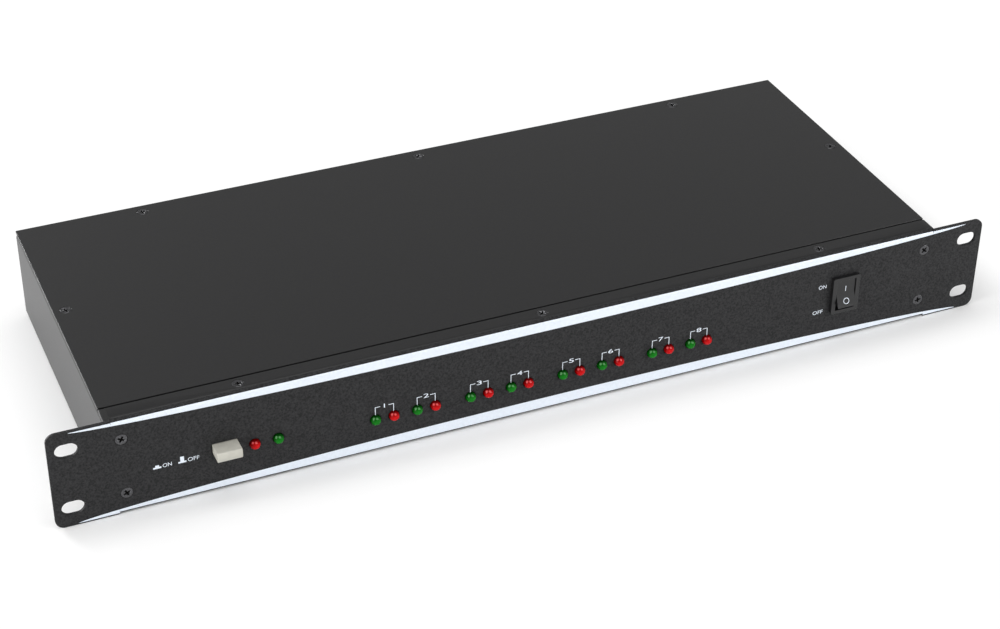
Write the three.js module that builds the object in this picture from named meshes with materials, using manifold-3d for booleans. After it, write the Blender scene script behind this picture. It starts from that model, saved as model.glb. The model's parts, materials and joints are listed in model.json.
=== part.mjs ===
import * as THREE from 'three';
import { mergeVertices } from 'three/addons/utils/BufferGeometryUtils.js';
import Module from 'manifold-3d';

const wasm = await Module();
wasm.setup();

// A rack-mounting DMX splitter: a folded steel box behind a 19 inch front panel.
// Millimetres. X runs across the front, Y from front to back, Z up.
// While it is built, x = 0 is the middle, y = 0 the front panel's face and z = 0 its bottom edge.

// Clearances
const seatGap = 0.3; // between two pieces that rest on each other
const fitGap = 0.25; // all round a piece that sits in a hole
const runGap = 0.4; // all round a piece that moves in a hole
const overrun = 1; // how far a cutting tool runs past the wall that it cuts

// Facets on a full turn
const roundSides = 16;
const lampSides = 10;
const screwSides = 10;
const smallSides = 12;
const tinySides = 8;
const bendSteps = 3;

// Front panel
const panelWidth = 482.6;
const panelHeight = 52;
const panelSheet = 1.6;
const panelCornerRadius = 4.5;
const panelBendInside = 0.5;
const panelLip = 0.3; // straight stretch behind the bend on the long edges
const earWidth = 29.3; // from the panel's end to where the bent edges start
const rackSlotInset = 8.75; // from the panel's end to the slot's middle
const rackSlotSpanZ = 31.75;
const rackSlotLength = 10.6;
const rackSlotHeight = 7.2;

// Box
const boxInset = 27; // from the panel's end to the box's side
const boxTopInset = 1.25; // top below the panel's top edge
const boxDepth = 174.5;
const boxSheet = 1.2;
const boxBendInside = 1.2;
const frontBendInside = 1.8;
const boxBottomZ = 0.45; // underside above the panel's bottom edge
const boxSetback = 0.8; // from the panel's back to the box's front wall
const flangeWidth = 12;
const stripDepth = 10.2; // top front flange, from the front wall to its back edge
const stripEndInset = 3;
const coverGroove = 1.5; // top of the groove between the strip and the cover
const coverCornerRadius = 1;

// Screws: countersunk, M3
const screwHeadRadius = 2.75;
const screwHeadDepth = 1.1;
const screwShankRadius = 1.4;
const screwLength = 6;
const screwDriveWidth = 0.7;
const screwDriveLength = 3.2;
const screwDriveDepth = 0.7;
const panelScrewInset = 6.5; // from the box's side
const panelScrewRise = 15; // above and below the panel's middle
const coverScrewInset = 63.7; // outer ones at the front and rear, from the box's side
const stripScrewInset = 6; // from the box's front
const sideScrewInset = 6;
const sideScrewShare = 0.542; // of the box's depth, from its front
const rearScrewInset = 6;
const panelPadRadius = 5;

// Indicator lamps: 5 mm domes
const lampRadius = 2.45;
const lampProud = 3;
const lampRimRadius = 2.9;
const lampRimDepth = 1;
const channelsPerBank = 2;
const lampRowShare = 0.643; // of the width from the signal lamp to the power switch
const lampRowMiddleShare = 0.4507; // of the same width, from the signal lamp
const channelPitchShare = 0.4363; // of the pitch from bank to bank
const lampPairShare = 0.4354; // of the pitch from channel to channel
const channelLampDrop = 7.5; // below the panel's middle
const powerLampOffset = 13.9; // from the button's middle
const statusLampPitch = 11.3;
const statusLampDrop = 4.6;

// Terminate button: a latching push button, shown out
const buttonInset = 53.4; // from the box's side
const buttonDrop = 2.3;
const buttonWidth = 11.9;
const buttonHeight = 5;
const buttonProud = 8.2;
const buttonCrown = 0.7;
const buttonSkirt = 1.2; // length of the cap behind the panel's face
const buttonTravel = 3.5;
const buttonStemWidth = 3;
const buttonStemBite = 5; // length of the stem inside its switch
const buttonSwitchWidth = 12;
const buttonSwitchHeight = 8;
const buttonSwitchDepth = 12;

// Power switch
const rockerInset = 52; // from the box's side
const rockerRise = 1;
const bezelWidth = 15.2;
const bezelHeight = 20.8;
const bezelProud = 2.2;
const bezelCornerRadius = 0.8;
const bezelWallX = 2.2;
const bezelWallZ = 1.8;
const switchBodyWidth = 13.4;
const switchBodyHeight = 18.6;
const switchBodyDepth = 15;
const switchCavityDepth = 7;
const rockerAxleY = 2.2;
const rockerAxleRadius = 0.8;
const rockerAxleBite = 0.7;
const rockerRunGap = 0.3;
const rockerHalfAngle = 12; // degrees, each face to the axle's plane, and from the middle to each stop
const rockerProud = 3.2; // ends of the faces above the panel, with the rocker level
const rockerRootHalf = 3;
const rockerRootDepth = 2.6;
const switchLugWidth = 4.8;
const switchLugThick = 0.8;
const switchLugLength = 8;
const switchLugPitch = 7;

// Rear sockets: three-pin, on a 26 by 31 flange
const linkNames = ['input', 'thru']; // sockets ahead of the outputs
const socketPitch = 33;
const socketRowOffset = 63; // from the mains inlet's middle to the first socket's
const socketRowMargin = 5; // least gap from the last flange to the box's side
const rearRowRise = 0.45; // sockets and inlet above the box's middle
const socketFlangeWidth = 26;
const socketFlangeHeight = 31;
const socketFlangeThick = 2.2;
const socketFlangeRadius = 2.5;
const socketRimRadius = 11.6;
const socketRimProud = 1.4;
const socketBarrelRadius = 11.7;
const socketBarrelDepth = 20;
const socketBoreRadius = 9.7;
const socketBoreDepth = 14;
const socketCoreRadius = 7.5;
const socketCoreRecess = 0.5; // face of the core below the rim
const socketScrewX = 9.5;
const socketScrewZ = 12;
const socketScrewRadius = 2.6;
const socketScrewProud = 0.8;
const pinCircleRadius = 3.97;
const pinRadius = 1.2;
const pinLength = 11;
const pinHoleRadius = 1.5;
const pinHoleDepth = 9;
const keyWidth = 3;
const keyHeight = 1.6;
const latchWidth = 7.6;
const latchHeight = 3;
const latchDepth = 2.6;
const latchProud = 0.9;
const latchTopZ = 14.3; // top of the tab above the socket's axis
const latchCornerRadius = 1.2;

// Mains inlet with a fuse drawer
const inletInset = 46.3; // from the box's side
const inletFlangeThick = 3;
const inletFlangeRadius = 4;
const inletFlangeEar = 9.5; // beyond the body, left and right
const inletFlangeLip = 2; // beyond the body, above and below
const inletBodyDepth = 24;
const inletSideWall = 2.1; // beside the drawer's pocket
const inletTopWall = 2; // above the recess
const inletWeb = 1.8; // between the recess and the drawer's pocket
const inletBottomWall = 1.4;
const inletRecessInset = 3.3; // from the body's sides
const inletRecessHeight = 16.8;
const inletRecessDepth = 15;
const inletRecessChamfer = 4.2;
const inletScrewInset = 5; // from the flange's ends
const inletScrewRadius = 3;
const inletScrewProud = 1;
const bladeThick = 2;
const bladeHeight = 4;
const bladeLength = 12;
const bladeSpan = 14;
const bladeDrop = 2;
const earthRise = 2;
const drawerWall = 2.5; // beside the fuse's pocket
const drawerHeight = 7.2;
const drawerDepth = 20;
const drawerLipHeight = 0.8;
const drawerLipProud = 0.9;
const fusePocketWidth = 21; // holds a 5 by 20 mm fuse that lies across
const fusePocketLength = 10;
const fusePocketDepth = 5.4;
const fusePocketInset = 2.5; // from the tray's inner end

// Boards and transformer
const boardThick = 1.6;
const lampBoardLeftMargin = 11.1; // beyond the button's middle
const lampBoardRightMargin = 6.55; // beyond the last lamp's middle
const lampBoardDrop = 17; // lower edge below the panel's middle
const lampBoardHeight = 27;
const lampBoardSpacerInset = 5.2;
const spacerRadius = 2.6;
const mainBoardSideGap = 14.3; // from the box's side
const mainBoardCoreGap = 25; // from the transformer's foot
const mainBoardFrontGap = 58.4; // from the front wall
const mainBoardRearGap = 25.7; // from the rear wall
const mainBoardRise = 8; // above the box's floor
const mainBoardSpacerInset = 6;
const chipWidth = 7;
const chipLength = 20;
const chipHeight = 4;
const chipRowShare = 0.66; // of the board's depth, from its front
const partSink = 0.4; // how deep a soldered part's foot goes into its board
const capacitorRadius = 6.5;
const capacitorHeight = 20;
const capacitorShare = 0.2; // of the board's depth, from its front
const capacitorPitch = 18;
const heatSinkWidth = 40;
const heatSinkHeight = 22;
const heatSinkBase = 3;
const heatSinkFins = 6;
const heatSinkFinThick = 1.2;
const heatSinkFinDepth = 10;
const heatSinkAcrossShare = 0.753; // of the board's width, from its left end
const heatSinkAlongShare = 0.25; // of the board's depth, from its front
const headerWidth = 30;
const headerDepth = 6;
const headerHeight = 9;
const headerAcrossShare = 0.89; // of the board's width, from its left end
const headerAlongShare = 0.09; // of the board's depth, from its front
const coreWidth = 48;
const coreDepth = 30;
const coreHeight = 38;
const coilWidth = 26;
const coilBulge = 9;
const coilRadius = 5;
const coreFootLength = 9;
const coreFootThick = 1.5;
const transformerInset = 64.3; // from the box's side
const transformerShare = 0.514; // of the depth inside the box, from its front wall

// Places worked out from the sizes above: panel and box
const panelMiddleZ = panelHeight / 2;
const panelBendRadius = panelBendInside + panelSheet;
const boxHalf = panelWidth / 2 - boxInset;
const boxFrontY = panelSheet + boxSetback;
const boxRearY = boxFrontY + boxDepth;
const boxTopZ = panelHeight - boxTopInset;
const boxFloorZ = boxBottomZ + boxSheet;
const boxInsideFrontY = boxFrontY + boxSheet;
const boxInsideRearY = boxRearY - boxSheet;
const boxBendRadius = boxBendInside + boxSheet;
const flangeTopZ = boxTopZ - boxSheet - seatGap;
const stripHalf = boxHalf - stripEndInset;
const stripRearY = boxFrontY + stripDepth;
const coverFrontY = stripRearY + coverGroove;

// Places on the front
const buttonX = -boxHalf + buttonInset;
const buttonZ = panelMiddleZ - buttonDrop;
const powerLampX = buttonX + powerLampOffset;
const signalLampX = powerLampX + statusLampPitch;
const statusLampZ = panelMiddleZ - statusLampDrop;
const channelLampZ = panelMiddleZ - channelLampDrop;
const rockerX = boxHalf - rockerInset;
const rockerZ = panelMiddleZ + rockerRise;

// Places at the rear
const rearRowZ = (boxBottomZ + boxTopZ) / 2 + rearRowRise;
const socketFaceY = boxRearY + seatGap + socketFlangeThick;
const drawerWidth = fusePocketWidth + 2 * drawerWall;
const inletX = boxHalf - inletInset;
const inletFaceY = boxRearY + seatGap + inletFlangeThick;
const inletBodyWidth = drawerWidth + 2 * (runGap + inletSideWall);
const drawerPocketHeight = drawerHeight + 2 * runGap;
const inletWalls = inletTopWall + inletWeb + inletBottomWall;
const inletBodyHeight = inletRecessHeight + drawerPocketHeight + inletWalls;
const inletRecessRise = inletBodyHeight / 2 - inletTopWall - inletRecessHeight / 2;
const drawerDrop = inletBodyHeight / 2 - inletBottomWall - drawerPocketHeight / 2;
const firstSocketX = inletX - socketRowOffset;
const socketRun = firstSocketX + boxHalf - socketRowMargin - socketFlangeWidth / 2;
const socketCount = Math.floor(socketRun / socketPitch) + 1;
const outputCount = socketCount - linkNames.length;

// Channel lamps: a green and a red one for each output, in banks
const bankCount = Math.ceil(outputCount / channelsPerBank);
const lampRowX = signalLampX + (rockerX - signalLampX) * lampRowMiddleShare;
const bankPitch = ((rockerX - signalLampX) * lampRowShare) / bankCount;
const channelPitch = bankPitch * channelPitchShare;
const lampPairSpan = channelPitch * lampPairShare;

// Places inside the box
const lampRimY = boxInsideFrontY + seatGap;
const lampBoardY = lampRimY + lampRimDepth + seatGap;
const lampBoardRearY = lampBoardY + boardThick;
const lampBoardLeftX = buttonX - lampBoardLeftMargin;
const lastChannelX = channelPlaces()[outputCount - 1];
const lampBoardRightX = lastChannelX + lampPairSpan / 2 + lampBoardRightMargin;
const lampBoardBottomZ = panelMiddleZ - lampBoardDrop;
const buttonSwitchFrontY = lampBoardRearY - partSink;
const transformerX = boxHalf - transformerInset;
const transformerY = boxInsideFrontY + (boxInsideRearY - boxInsideFrontY) * transformerShare;
const mainBoardLeftX = -boxHalf + mainBoardSideGap;
const mainBoardRightX = transformerX - coreWidth / 2 - coreFootLength - mainBoardCoreGap;
const mainBoardWidth = mainBoardRightX - mainBoardLeftX;
const mainBoardFrontY = boxInsideFrontY + mainBoardFrontGap;
const mainBoardDepth = boxInsideRearY - mainBoardRearGap - mainBoardFrontY;
const mainBoardZ = boxFloorZ + mainBoardRise + seatGap;

// Materials
const paint = (color, roughness) => new THREE.MeshStandardMaterial({ color, roughness, metalness: 0 });
const metal = (color, roughness) => new THREE.MeshStandardMaterial({ color, roughness, metalness: 1 });
const panelPaint = paint('#343434', 0.55);
const boxPaint = paint('#3a3a3a', 0.6);
const blackScrew = metal('#2b2b2b', 0.4);
const greenLens = paint('#1c641e', 0.15);
const redLens = paint('#961d1e', 0.15);
const creamPlastic = paint('#c9c5b8', 0.45);
const blackPlastic = paint('#1e1e1f', 0.35);
const socketShell = paint('#222224', 0.45);
const latchMetal = metal('#b9bcc0', 0.35);
const boardLaminate = paint('#1f5a36', 0.5);
const coreSteel = metal('#6d6f72', 0.55);

// Turns any three.js geometry into a closed solid with its faces pointing out.
function solid(geometry) {
  const bare = geometry.clone();
  bare.deleteAttribute('normal');
  bare.deleteAttribute('uv');
  const merged = mergeVertices(bare);
  const mesh = new wasm.Mesh({
    numProp: 3,
    vertProperties: new Float32Array(merged.attributes.position.array),
    triVerts: new Uint32Array(merged.index.array),
  });
  return new wasm.Manifold(mesh);
}

// Turns a solid back into a three.js geometry with flat faces.
function surface(body) {
  const mesh = body.getMesh();
  const geometry = new THREE.BufferGeometry();
  geometry.setAttribute('position', new THREE.BufferAttribute(new Float32Array(mesh.vertProperties), 3));
  geometry.setIndex(new THREE.BufferAttribute(new Uint32Array(mesh.triVerts), 1));
  const faceted = geometry.toNonIndexed();
  faceted.computeVertexNormals();
  return faceted;
}

const join = (...bodies) => bodies.reduce((sum, body) => sum.add(body));
const cut = (body, ...tools) => tools.reduce((rest, tool) => rest.subtract(tool), body);

// A block from its lowest to its highest corner.
function block(x0, y0, z0, x1, y1, z1) {
  const geometry = new THREE.BoxGeometry(x1 - x0, y1 - y0, z1 - z0);
  geometry.translate((x0 + x1) / 2, (y0 + y1) / 2, (z0 + z1) / 2);
  return solid(geometry);
}

// Points on an arc, angles in radians.
function arc(cx, cy, radius, from, to, steps) {
  const points = [];
  for (let i = 0; i <= steps; i += 1) {
    const angle = from + ((to - from) * i) / steps;
    points.push(new THREE.Vector2(cx + radius * Math.cos(angle), cy + radius * Math.sin(angle)));
  }
  return points;
}

function circle(cx, cy, radius, sides) {
  return arc(cx, cy, radius, 0, 2 * Math.PI, sides).slice(0, -1);
}

// A rectangle with round corners, counter-clockwise from its right side.
function roundedRectangle(cx, cy, width, height, radius, steps) {
  const x = width / 2 - radius;
  const y = height / 2 - radius;
  const quarter = Math.PI / 2;
  const signs = [[1, 1], [-1, 1], [-1, -1], [1, -1]];
  return signs.flatMap(([sx, sy], i) => (
    arc(cx + sx * x, cy + sy * y, radius, i * quarter, (i + 1) * quarter, steps)
  ));
}

// A slot with full round ends.
function slotOutline(cx, cy, length, height, sides) {
  return roundedRectangle(cx, cy, length, height, height / 2, sides / 4).filter((point, i, all) => (
    point.distanceTo(all[(i + 1) % all.length]) > 0
  ));
}

function extrusion(outline, holes, depth) {
  const shape = new THREE.Shape(outline);
  holes.forEach((hole) => shape.holes.push(new THREE.Path(hole)));
  return new THREE.ExtrudeGeometry(shape, { depth, bevelEnabled: false });
}

// An outline in X and Z, carried from y0 back to y1.
function alongY(outline, y0, y1, holes = []) {
  const geometry = extrusion(outline, holes, y1 - y0);
  geometry.rotateX(Math.PI / 2);
  geometry.translate(0, y1, 0);
  return solid(geometry);
}

// An outline in Y and Z, carried from x0 to x1.
function alongX(outline, x0, x1) {
  const geometry = extrusion(outline, [], x1 - x0);
  const turn = new THREE.Matrix4().makeBasis(
    new THREE.Vector3(0, 1, 0),
    new THREE.Vector3(0, 0, 1),
    new THREE.Vector3(1, 0, 0),
  );
  geometry.applyMatrix4(turn);
  geometry.translate(x0, 0, 0);
  return solid(geometry);
}

// An outline in X and Y, carried from z0 up to z1.
function alongZ(outline, z0, z1) {
  const geometry = extrusion(outline, [], z1 - z0);
  geometry.translate(0, 0, z0);
  return solid(geometry);
}

function cylinderY(x, z, radius, y0, y1, sides = roundSides) {
  return alongY(circle(x, z, radius, sides), y0, y1);
}

// A profile of [radius, length] points, from axis to axis, turned about the Y axis at x, z.
function turnedY(profile, x, y, z, sides = roundSides) {
  const points = profile.map(([radius, length]) => new THREE.Vector2(radius, length));
  const geometry = new THREE.LatheGeometry(points, sides);
  geometry.translate(x, y, z);
  return solid(geometry);
}

// The outline of a bent sheet. The corners lie on its outer face, and the sheet is on their left.
function bentSheet(corners, insideRadii, thickness) {
  const outer = [];
  const inner = [];
  const side = (a, b) => new THREE.Vector2(a.y - b.y, b.x - a.x).normalize();
  const last = corners.length - 1;
  corners.forEach((corner, i) => {
    if (i === 0 || i === last) {
      const normal = i === 0 ? side(corner, corners[1]) : side(corners[last - 1], corner);
      outer.push(corner.clone());
      inner.push(corner.clone().addScaledVector(normal, thickness));
      return;
    }
    const before = side(corners[i - 1], corner);
    const after = side(corner, corners[i + 1]);
    const left = before.x * after.y - before.y * after.x > 0;
    const insideRadius = insideRadii[i - 1];
    const outerRadius = left ? insideRadius + thickness : insideRadius;
    const innerRadius = left ? insideRadius : insideRadius + thickness;
    const sign = left ? 1 : -1;
    const reach = (outerRadius * sign) / (1 + before.dot(after));
    const centre = corner.clone().addScaledVector(before.clone().add(after), reach);
    const turn = Math.acos(before.dot(after)) * sign;
    const start = Math.atan2(-before.y * sign, -before.x * sign);
    outer.push(...arc(centre.x, centre.y, outerRadius, start, start + turn, bendSteps));
    inner.push(...arc(centre.x, centre.y, innerRadius, start, start + turn, bendSteps));
  });
  return [...outer, ...inner.reverse()];
}

const at = (x, y) => new THREE.Vector2(x, y);

// Places of the lamps, sockets and screws
function channelPlaces() {
  const middle = (bankCount - 1) / 2;
  return Array.from({ length: outputCount }, (unused, i) => {
    const bank = Math.floor(i / channelsPerBank);
    const inBank = (i % channelsPerBank) - (channelsPerBank - 1) / 2;
    return lampRowX + (bank - middle) * bankPitch + inBank * channelPitch;
  });
}

function lampPlaces() {
  const places = [
    { name: 'power_lamp', x: powerLampX, z: statusLampZ, lens: redLens },
    { name: 'signal_lamp', x: signalLampX, z: statusLampZ, lens: greenLens },
  ];
  channelPlaces().forEach((middle, i) => {
    const channel = `channel_${i + 1}`;
    const left = middle - lampPairSpan / 2;
    const right = middle + lampPairSpan / 2;
    places.push({ name: `${channel}_green_lamp`, x: left, z: channelLampZ, lens: greenLens });
    places.push({ name: `${channel}_red_lamp`, x: right, z: channelLampZ, lens: redLens });
  });
  return places;
}

const socketX = (i) => firstSocketX - i * socketPitch;

const panelScrewPlaces = [-1, 1].flatMap((sx) => [-1, 1].map((sz) => (
  [sx * (boxHalf - panelScrewInset), panelMiddleZ + sz * panelScrewRise]
)));

const coverScrewPlaces = [
  ...[-1, 0, 1].map((sx) => [sx * (boxHalf - coverScrewInset), boxFrontY + stripScrewInset]),
  ...[-1, 1].map((sx) => [sx * (boxHalf - sideScrewInset), boxFrontY + boxDepth * sideScrewShare]),
  ...[-1, 0, 1].map((sx) => [sx * (boxHalf - coverScrewInset), boxRearY - rearScrewInset]),
];

// A countersunk screw along -Y from its head's face at the origin.
function screwBody() {
  const body = turnedY([
    [0, 0],
    [screwHeadRadius, 0],
    [screwShankRadius, screwHeadDepth],
    [screwShankRadius, screwLength],
    [0, screwLength],
  ].map(([r, l]) => [r, -l]).reverse(), 0, 0, 0, screwSides);
  const arm = screwDriveLength / 2;
  const half = screwDriveWidth / 2;
  const across = block(-arm, -screwDriveDepth, -half, arm, overrun, half);
  const upright = block(-half, -screwDriveDepth, -arm, half, overrun, arm);
  return cut(body, across, upright);
}

// The hole that such a screw sits in, with its mouth at the origin.
function screwHole(depth) {
  return turnedY([
    [0, -depth - overrun],
    [screwShankRadius + fitGap, -depth - overrun],
    [screwShankRadius + fitGap, -screwHeadDepth - fitGap],
    [screwHeadRadius + fitGap, -fitGap / 2],
    [screwHeadRadius + fitGap, overrun],
    [0, overrun],
  ], 0, 0, 0, screwSides);
}

// Stands a solid that points along -Y at a place on a face that looks forward or up.
const facingFront = (body, x, y, z) => body.rotate([0, 0, 180]).translate([x, y, z]);
const facingUp = (body, x, y, z) => body.rotate([90, 0, 0]).translate([x, y, z]);

function panelOpenings() {
  const holes = lampPlaces().map(({ x, z }) => circle(x, z, lampRadius + fitGap, lampSides));
  [-1, 1].forEach((sx) => [-1, 1].forEach((sz) => {
    const x = sx * (panelWidth / 2 - rackSlotInset);
    const z = panelMiddleZ + (sz * rackSlotSpanZ) / 2;
    holes.push(slotOutline(x, z, rackSlotLength, rackSlotHeight, roundSides));
  }));
  holes.push(buttonWindow());
  holes.push(switchWindow());
  return holes;
}

function buttonWindow() {
  const width = buttonWidth + 2 * runGap;
  const height = buttonHeight + 2 * runGap;
  return roundedRectangle(buttonX, buttonZ, width, height, runGap, 1);
}

function switchWindow() {
  const width = switchBodyWidth + 2 * fitGap;
  const height = switchBodyHeight + 2 * fitGap;
  return roundedRectangle(rockerX, rockerZ, width, height, fitGap, 1);
}

// Front panel: a flat plate whose long edges are bent back between the two ears.
function frontPanel() {
  const outline = roundedRectangle(0, panelMiddleZ, panelWidth, panelHeight, panelCornerRadius, 4);
  const plate = alongY(outline, 0, panelSheet, panelOpenings());
  const bentHalf = panelWidth / 2 - earWidth;
  const lipY = panelBendRadius + panelLip;
  const edge = (z, sign) => {
    const corners = [
      at(0, z - sign * 2 * panelBendRadius),
      at(0, z),
      at(lipY, z),
    ];
    const ordered = sign > 0 ? corners.reverse() : corners;
    return alongX(bentSheet(ordered, [panelBendInside], panelSheet), -bentHalf, bentHalf);
  };
  const top = panelHeight - panelBendRadius;
  const trimmed = cut(
    plate,
    block(-bentHalf, -overrun, top, bentHalf, panelSheet + overrun, panelHeight + overrun),
    block(-bentHalf, -overrun, -overrun, bentHalf, panelSheet + overrun, panelBendRadius),
  );
  const folded = join(trimmed, edge(panelHeight, 1), edge(0, -1));
  const holes = panelScrewPlaces.map(([x, z]) => facingFront(screwHole(panelSheet), x, 0, z));
  return cut(folded, ...holes);
}

// Box: floor and sides from one bent sheet, closed by the front and rear walls with their flanges.
function boxShell() {
  const sides = bentSheet([
    at(-boxHalf + flangeWidth, flangeTopZ),
    at(-boxHalf, flangeTopZ),
    at(-boxHalf, boxBottomZ),
    at(boxHalf, boxBottomZ),
    at(boxHalf, flangeTopZ),
    at(boxHalf - flangeWidth, flangeTopZ),
  ], Array(4).fill(boxBendInside), boxSheet);
  const front = bentSheet([
    at(stripRearY, boxTopZ),
    at(boxFrontY, boxTopZ),
    at(boxFrontY, boxBottomZ),
    at(boxFrontY + 2 * flangeWidth, boxBottomZ),
  ], [frontBendInside, boxBendInside], boxSheet);
  const rear = bentSheet([
    at(boxRearY - 2 * flangeWidth, boxBottomZ),
    at(boxRearY, boxBottomZ),
    at(boxRearY, flangeTopZ),
    at(boxRearY - flangeWidth, flangeTopZ),
  ], [boxBendInside, boxBendInside], boxSheet);
  const reach = boxHalf - boxSheet / 2;
  const folded = join(
    alongY(sides, boxFrontY, boxRearY),
    alongX(front, -reach, reach),
    alongX(rear, -reach, reach),
  );
  return folded.intersect(boxEnvelope());
}

// The box's outer form seen from the side, which rounds the bends at its lower edges.
function boxEnvelope() {
  const quarter = Math.PI / 2;
  const low = boxBottomZ + boxBendRadius;
  const outline = [
    ...arc(boxFrontY + boxBendRadius, low, boxBendRadius, 2 * quarter, 3 * quarter, bendSteps),
    ...arc(boxRearY - boxBendRadius, low, boxBendRadius, 3 * quarter, 4 * quarter, bendSteps),
    at(boxRearY, boxTopZ + overrun),
    at(boxFrontY, boxTopZ + overrun),
  ];
  return alongX(outline, -boxHalf - overrun, boxHalf + overrun);
}

function stripReliefs() {
  return [-1, 1].map((sx) => {
    const ends = [sx * stripHalf, sx * (boxHalf + overrun)].sort((a, b) => a - b);
    return block(ends[0], boxFrontY - overrun, flangeTopZ,
      ends[1], stripRearY + overrun, boxTopZ + overrun);
  });
}

function frontWallOpenings() {
  const y0 = boxFrontY - overrun;
  const y1 = boxInsideFrontY + overrun;
  const slotHeight = 2 * (lampRimRadius + fitGap);
  const tools = Array.from({ length: bankCount }, (unused, bank) => {
    const xs = channelPlaces().slice(bank * channelsPerBank, (bank + 1) * channelsPerBank);
    const first = xs[0];
    const last = xs[xs.length - 1];
    const length = last - first + lampPairSpan + slotHeight;
    const outline = slotOutline((first + last) / 2, channelLampZ, length, slotHeight, smallSides);
    return alongY(outline, y0, y1);
  });
  const statusX = (powerLampX + signalLampX) / 2;
  const statusLength = signalLampX - powerLampX + slotHeight;
  tools.push(alongY(slotOutline(statusX, statusLampZ, statusLength, slotHeight, smallSides), y0, y1));
  tools.push(alongY(buttonWindow(), y0, y1));
  tools.push(alongY(switchWindow(), y0, y1));
  return tools;
}

function rearWallOpenings() {
  const y0 = boxInsideRearY - overrun;
  const y1 = boxRearY + overrun;
  const tools = Array.from({ length: socketCount }, (unused, i) => (
    cylinderY(socketX(i), rearRowZ, socketBarrelRadius + fitGap, y0, y1)
  ));
  const width = inletBodyWidth + 2 * fitGap;
  const height = inletBodyHeight + 2 * fitGap;
  tools.push(alongY(roundedRectangle(inletX, rearRowZ, width, height, fitGap, 1), y0, y1));
  return tools;
}

// Raised pads that carry the front panel at its four screws.
function panelPads() {
  return panelScrewPlaces.map(([x, z]) => (
    cylinderY(x, z, panelPadRadius, panelSheet + seatGap, boxFrontY + boxSheet / 2, smallSides)
  ));
}

function chassis() {
  const shell = cut(boxShell(), ...stripReliefs());
  const carried = join(shell, ...panelPads());
  const panelScrewHoles = panelScrewPlaces.map(([x, z]) => (
    cylinderY(x, z, screwShankRadius + fitGap, panelSheet, boxInsideFrontY + overrun, screwSides)
  ));
  const openings = [...frontWallOpenings(), ...rearWallOpenings()];
  return cut(carried, ...openings, ...panelScrewHoles, ...coverScrewHoles());
}

function coverScrewHoles() {
  const depth = 2 * boxSheet + seatGap;
  return coverScrewPlaces.map(([x, y]) => facingUp(screwHole(depth), x, y, boxTopZ));
}

// Cover: a flat sheet whose front edge steps down into a tongue under the strip.
function topCover() {
  const step = boxSheet + seatGap;
  const depth = boxRearY - coverFrontY - boxSheet;
  const outline = roundedRectangle(0, boxRearY - depth / 2, 2 * boxHalf, depth, coverCornerRadius, 2);
  const sheet = alongZ(outline, boxTopZ - boxSheet, boxTopZ);
  const tongueFront = boxInsideFrontY + frontBendInside + seatGap;
  const tongue = bentSheet([
    at(coverFrontY + flangeWidth, boxTopZ),
    at(coverFrontY, boxTopZ),
    at(coverFrontY - step, boxTopZ - step),
    at(tongueFront, boxTopZ - step),
  ], [seatGap, seatGap], boxSheet);
  const tongueHalf = boxHalf - flangeWidth - 2 * seatGap;
  const joined = join(sheet, alongX(tongue, -tongueHalf, tongueHalf));
  return cut(joined, ...coverScrewHoles());
}

function lamp() {
  const domeRise = lampProud - lampRadius;
  const rimBack = lampRimY + lampRimDepth;
  const profile = [
    [0, -rimBack],
    [lampRimRadius, -rimBack],
    [lampRimRadius, -lampRimY],
    [lampRadius, -lampRimY],
    ...arc(0, domeRise, lampRadius, 0, Math.PI / 2, 3).slice(0, -1).map((p) => [p.x, p.y]),
    [0, lampProud],
  ];
  return turnedY(profile, 0, 0, 0, lampSides).rotate([0, 0, 180]);
}

// The cap's front is crowned from top to bottom, and its square stem runs back into the switch.
function terminateButton() {
  const halfHeight = buttonHeight / 2;
  const crownRadius = (halfHeight ** 2 + buttonCrown ** 2) / (2 * buttonCrown);
  const spread = Math.asin(halfHeight / crownRadius);
  const middleY = crownRadius - buttonProud;
  const crown = arc(middleY, buttonZ, crownRadius, Math.PI - spread, Math.PI + spread, 6);
  const outline = [...crown, at(buttonSkirt, buttonZ - halfHeight), at(buttonSkirt, buttonZ + halfHeight)];
  const cap = alongX(outline, buttonX - buttonWidth / 2, buttonX + buttonWidth / 2);
  const half = buttonStemWidth / 2;
  const stemEnd = buttonSwitchFrontY + buttonStemBite;
  const stem = block(buttonX - half, buttonSkirt - partSink, buttonZ - half,
    buttonX + half, stemEnd, buttonZ + half);
  return join(cap, stem);
}

// Lamp board: stands on spacers behind the front wall and carries the lamps and the button's switch.
function lampBoard() {
  const board = block(lampBoardLeftX, lampBoardY, lampBoardBottomZ, lampBoardRightX,
    lampBoardRearY, lampBoardBottomZ + lampBoardHeight);
  const halfWidth = buttonSwitchWidth / 2;
  const halfHeight = buttonSwitchHeight / 2;
  const switchRearY = buttonSwitchFrontY + buttonSwitchDepth;
  const body = block(buttonX - halfWidth, buttonSwitchFrontY, buttonZ - halfHeight,
    buttonX + halfWidth, switchRearY, buttonZ + halfHeight);
  const bore = buttonStemWidth / 2 + runGap;
  const boreEnd = buttonSwitchFrontY + buttonStemBite + buttonTravel + runGap;
  const hole = block(buttonX - bore, lampBoardY - overrun, buttonZ - bore,
    buttonX + bore, boreEnd, buttonZ + bore);
  return cut(join(board, body, ...lampBoardSpacers()), hole);
}

function lampBoardSpacers() {
  const left = lampBoardLeftX + lampBoardSpacerInset;
  const right = lampBoardRightX - lampBoardSpacerInset;
  const z = lampBoardBottomZ + lampBoardHeight - lampBoardSpacerInset;
  return [left, (left + right) / 2, right].map((x) => (
    cylinderY(x, z, spacerRadius, boxInsideFrontY + seatGap, lampBoardY + partSink, tinySides)
  ));
}

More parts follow.
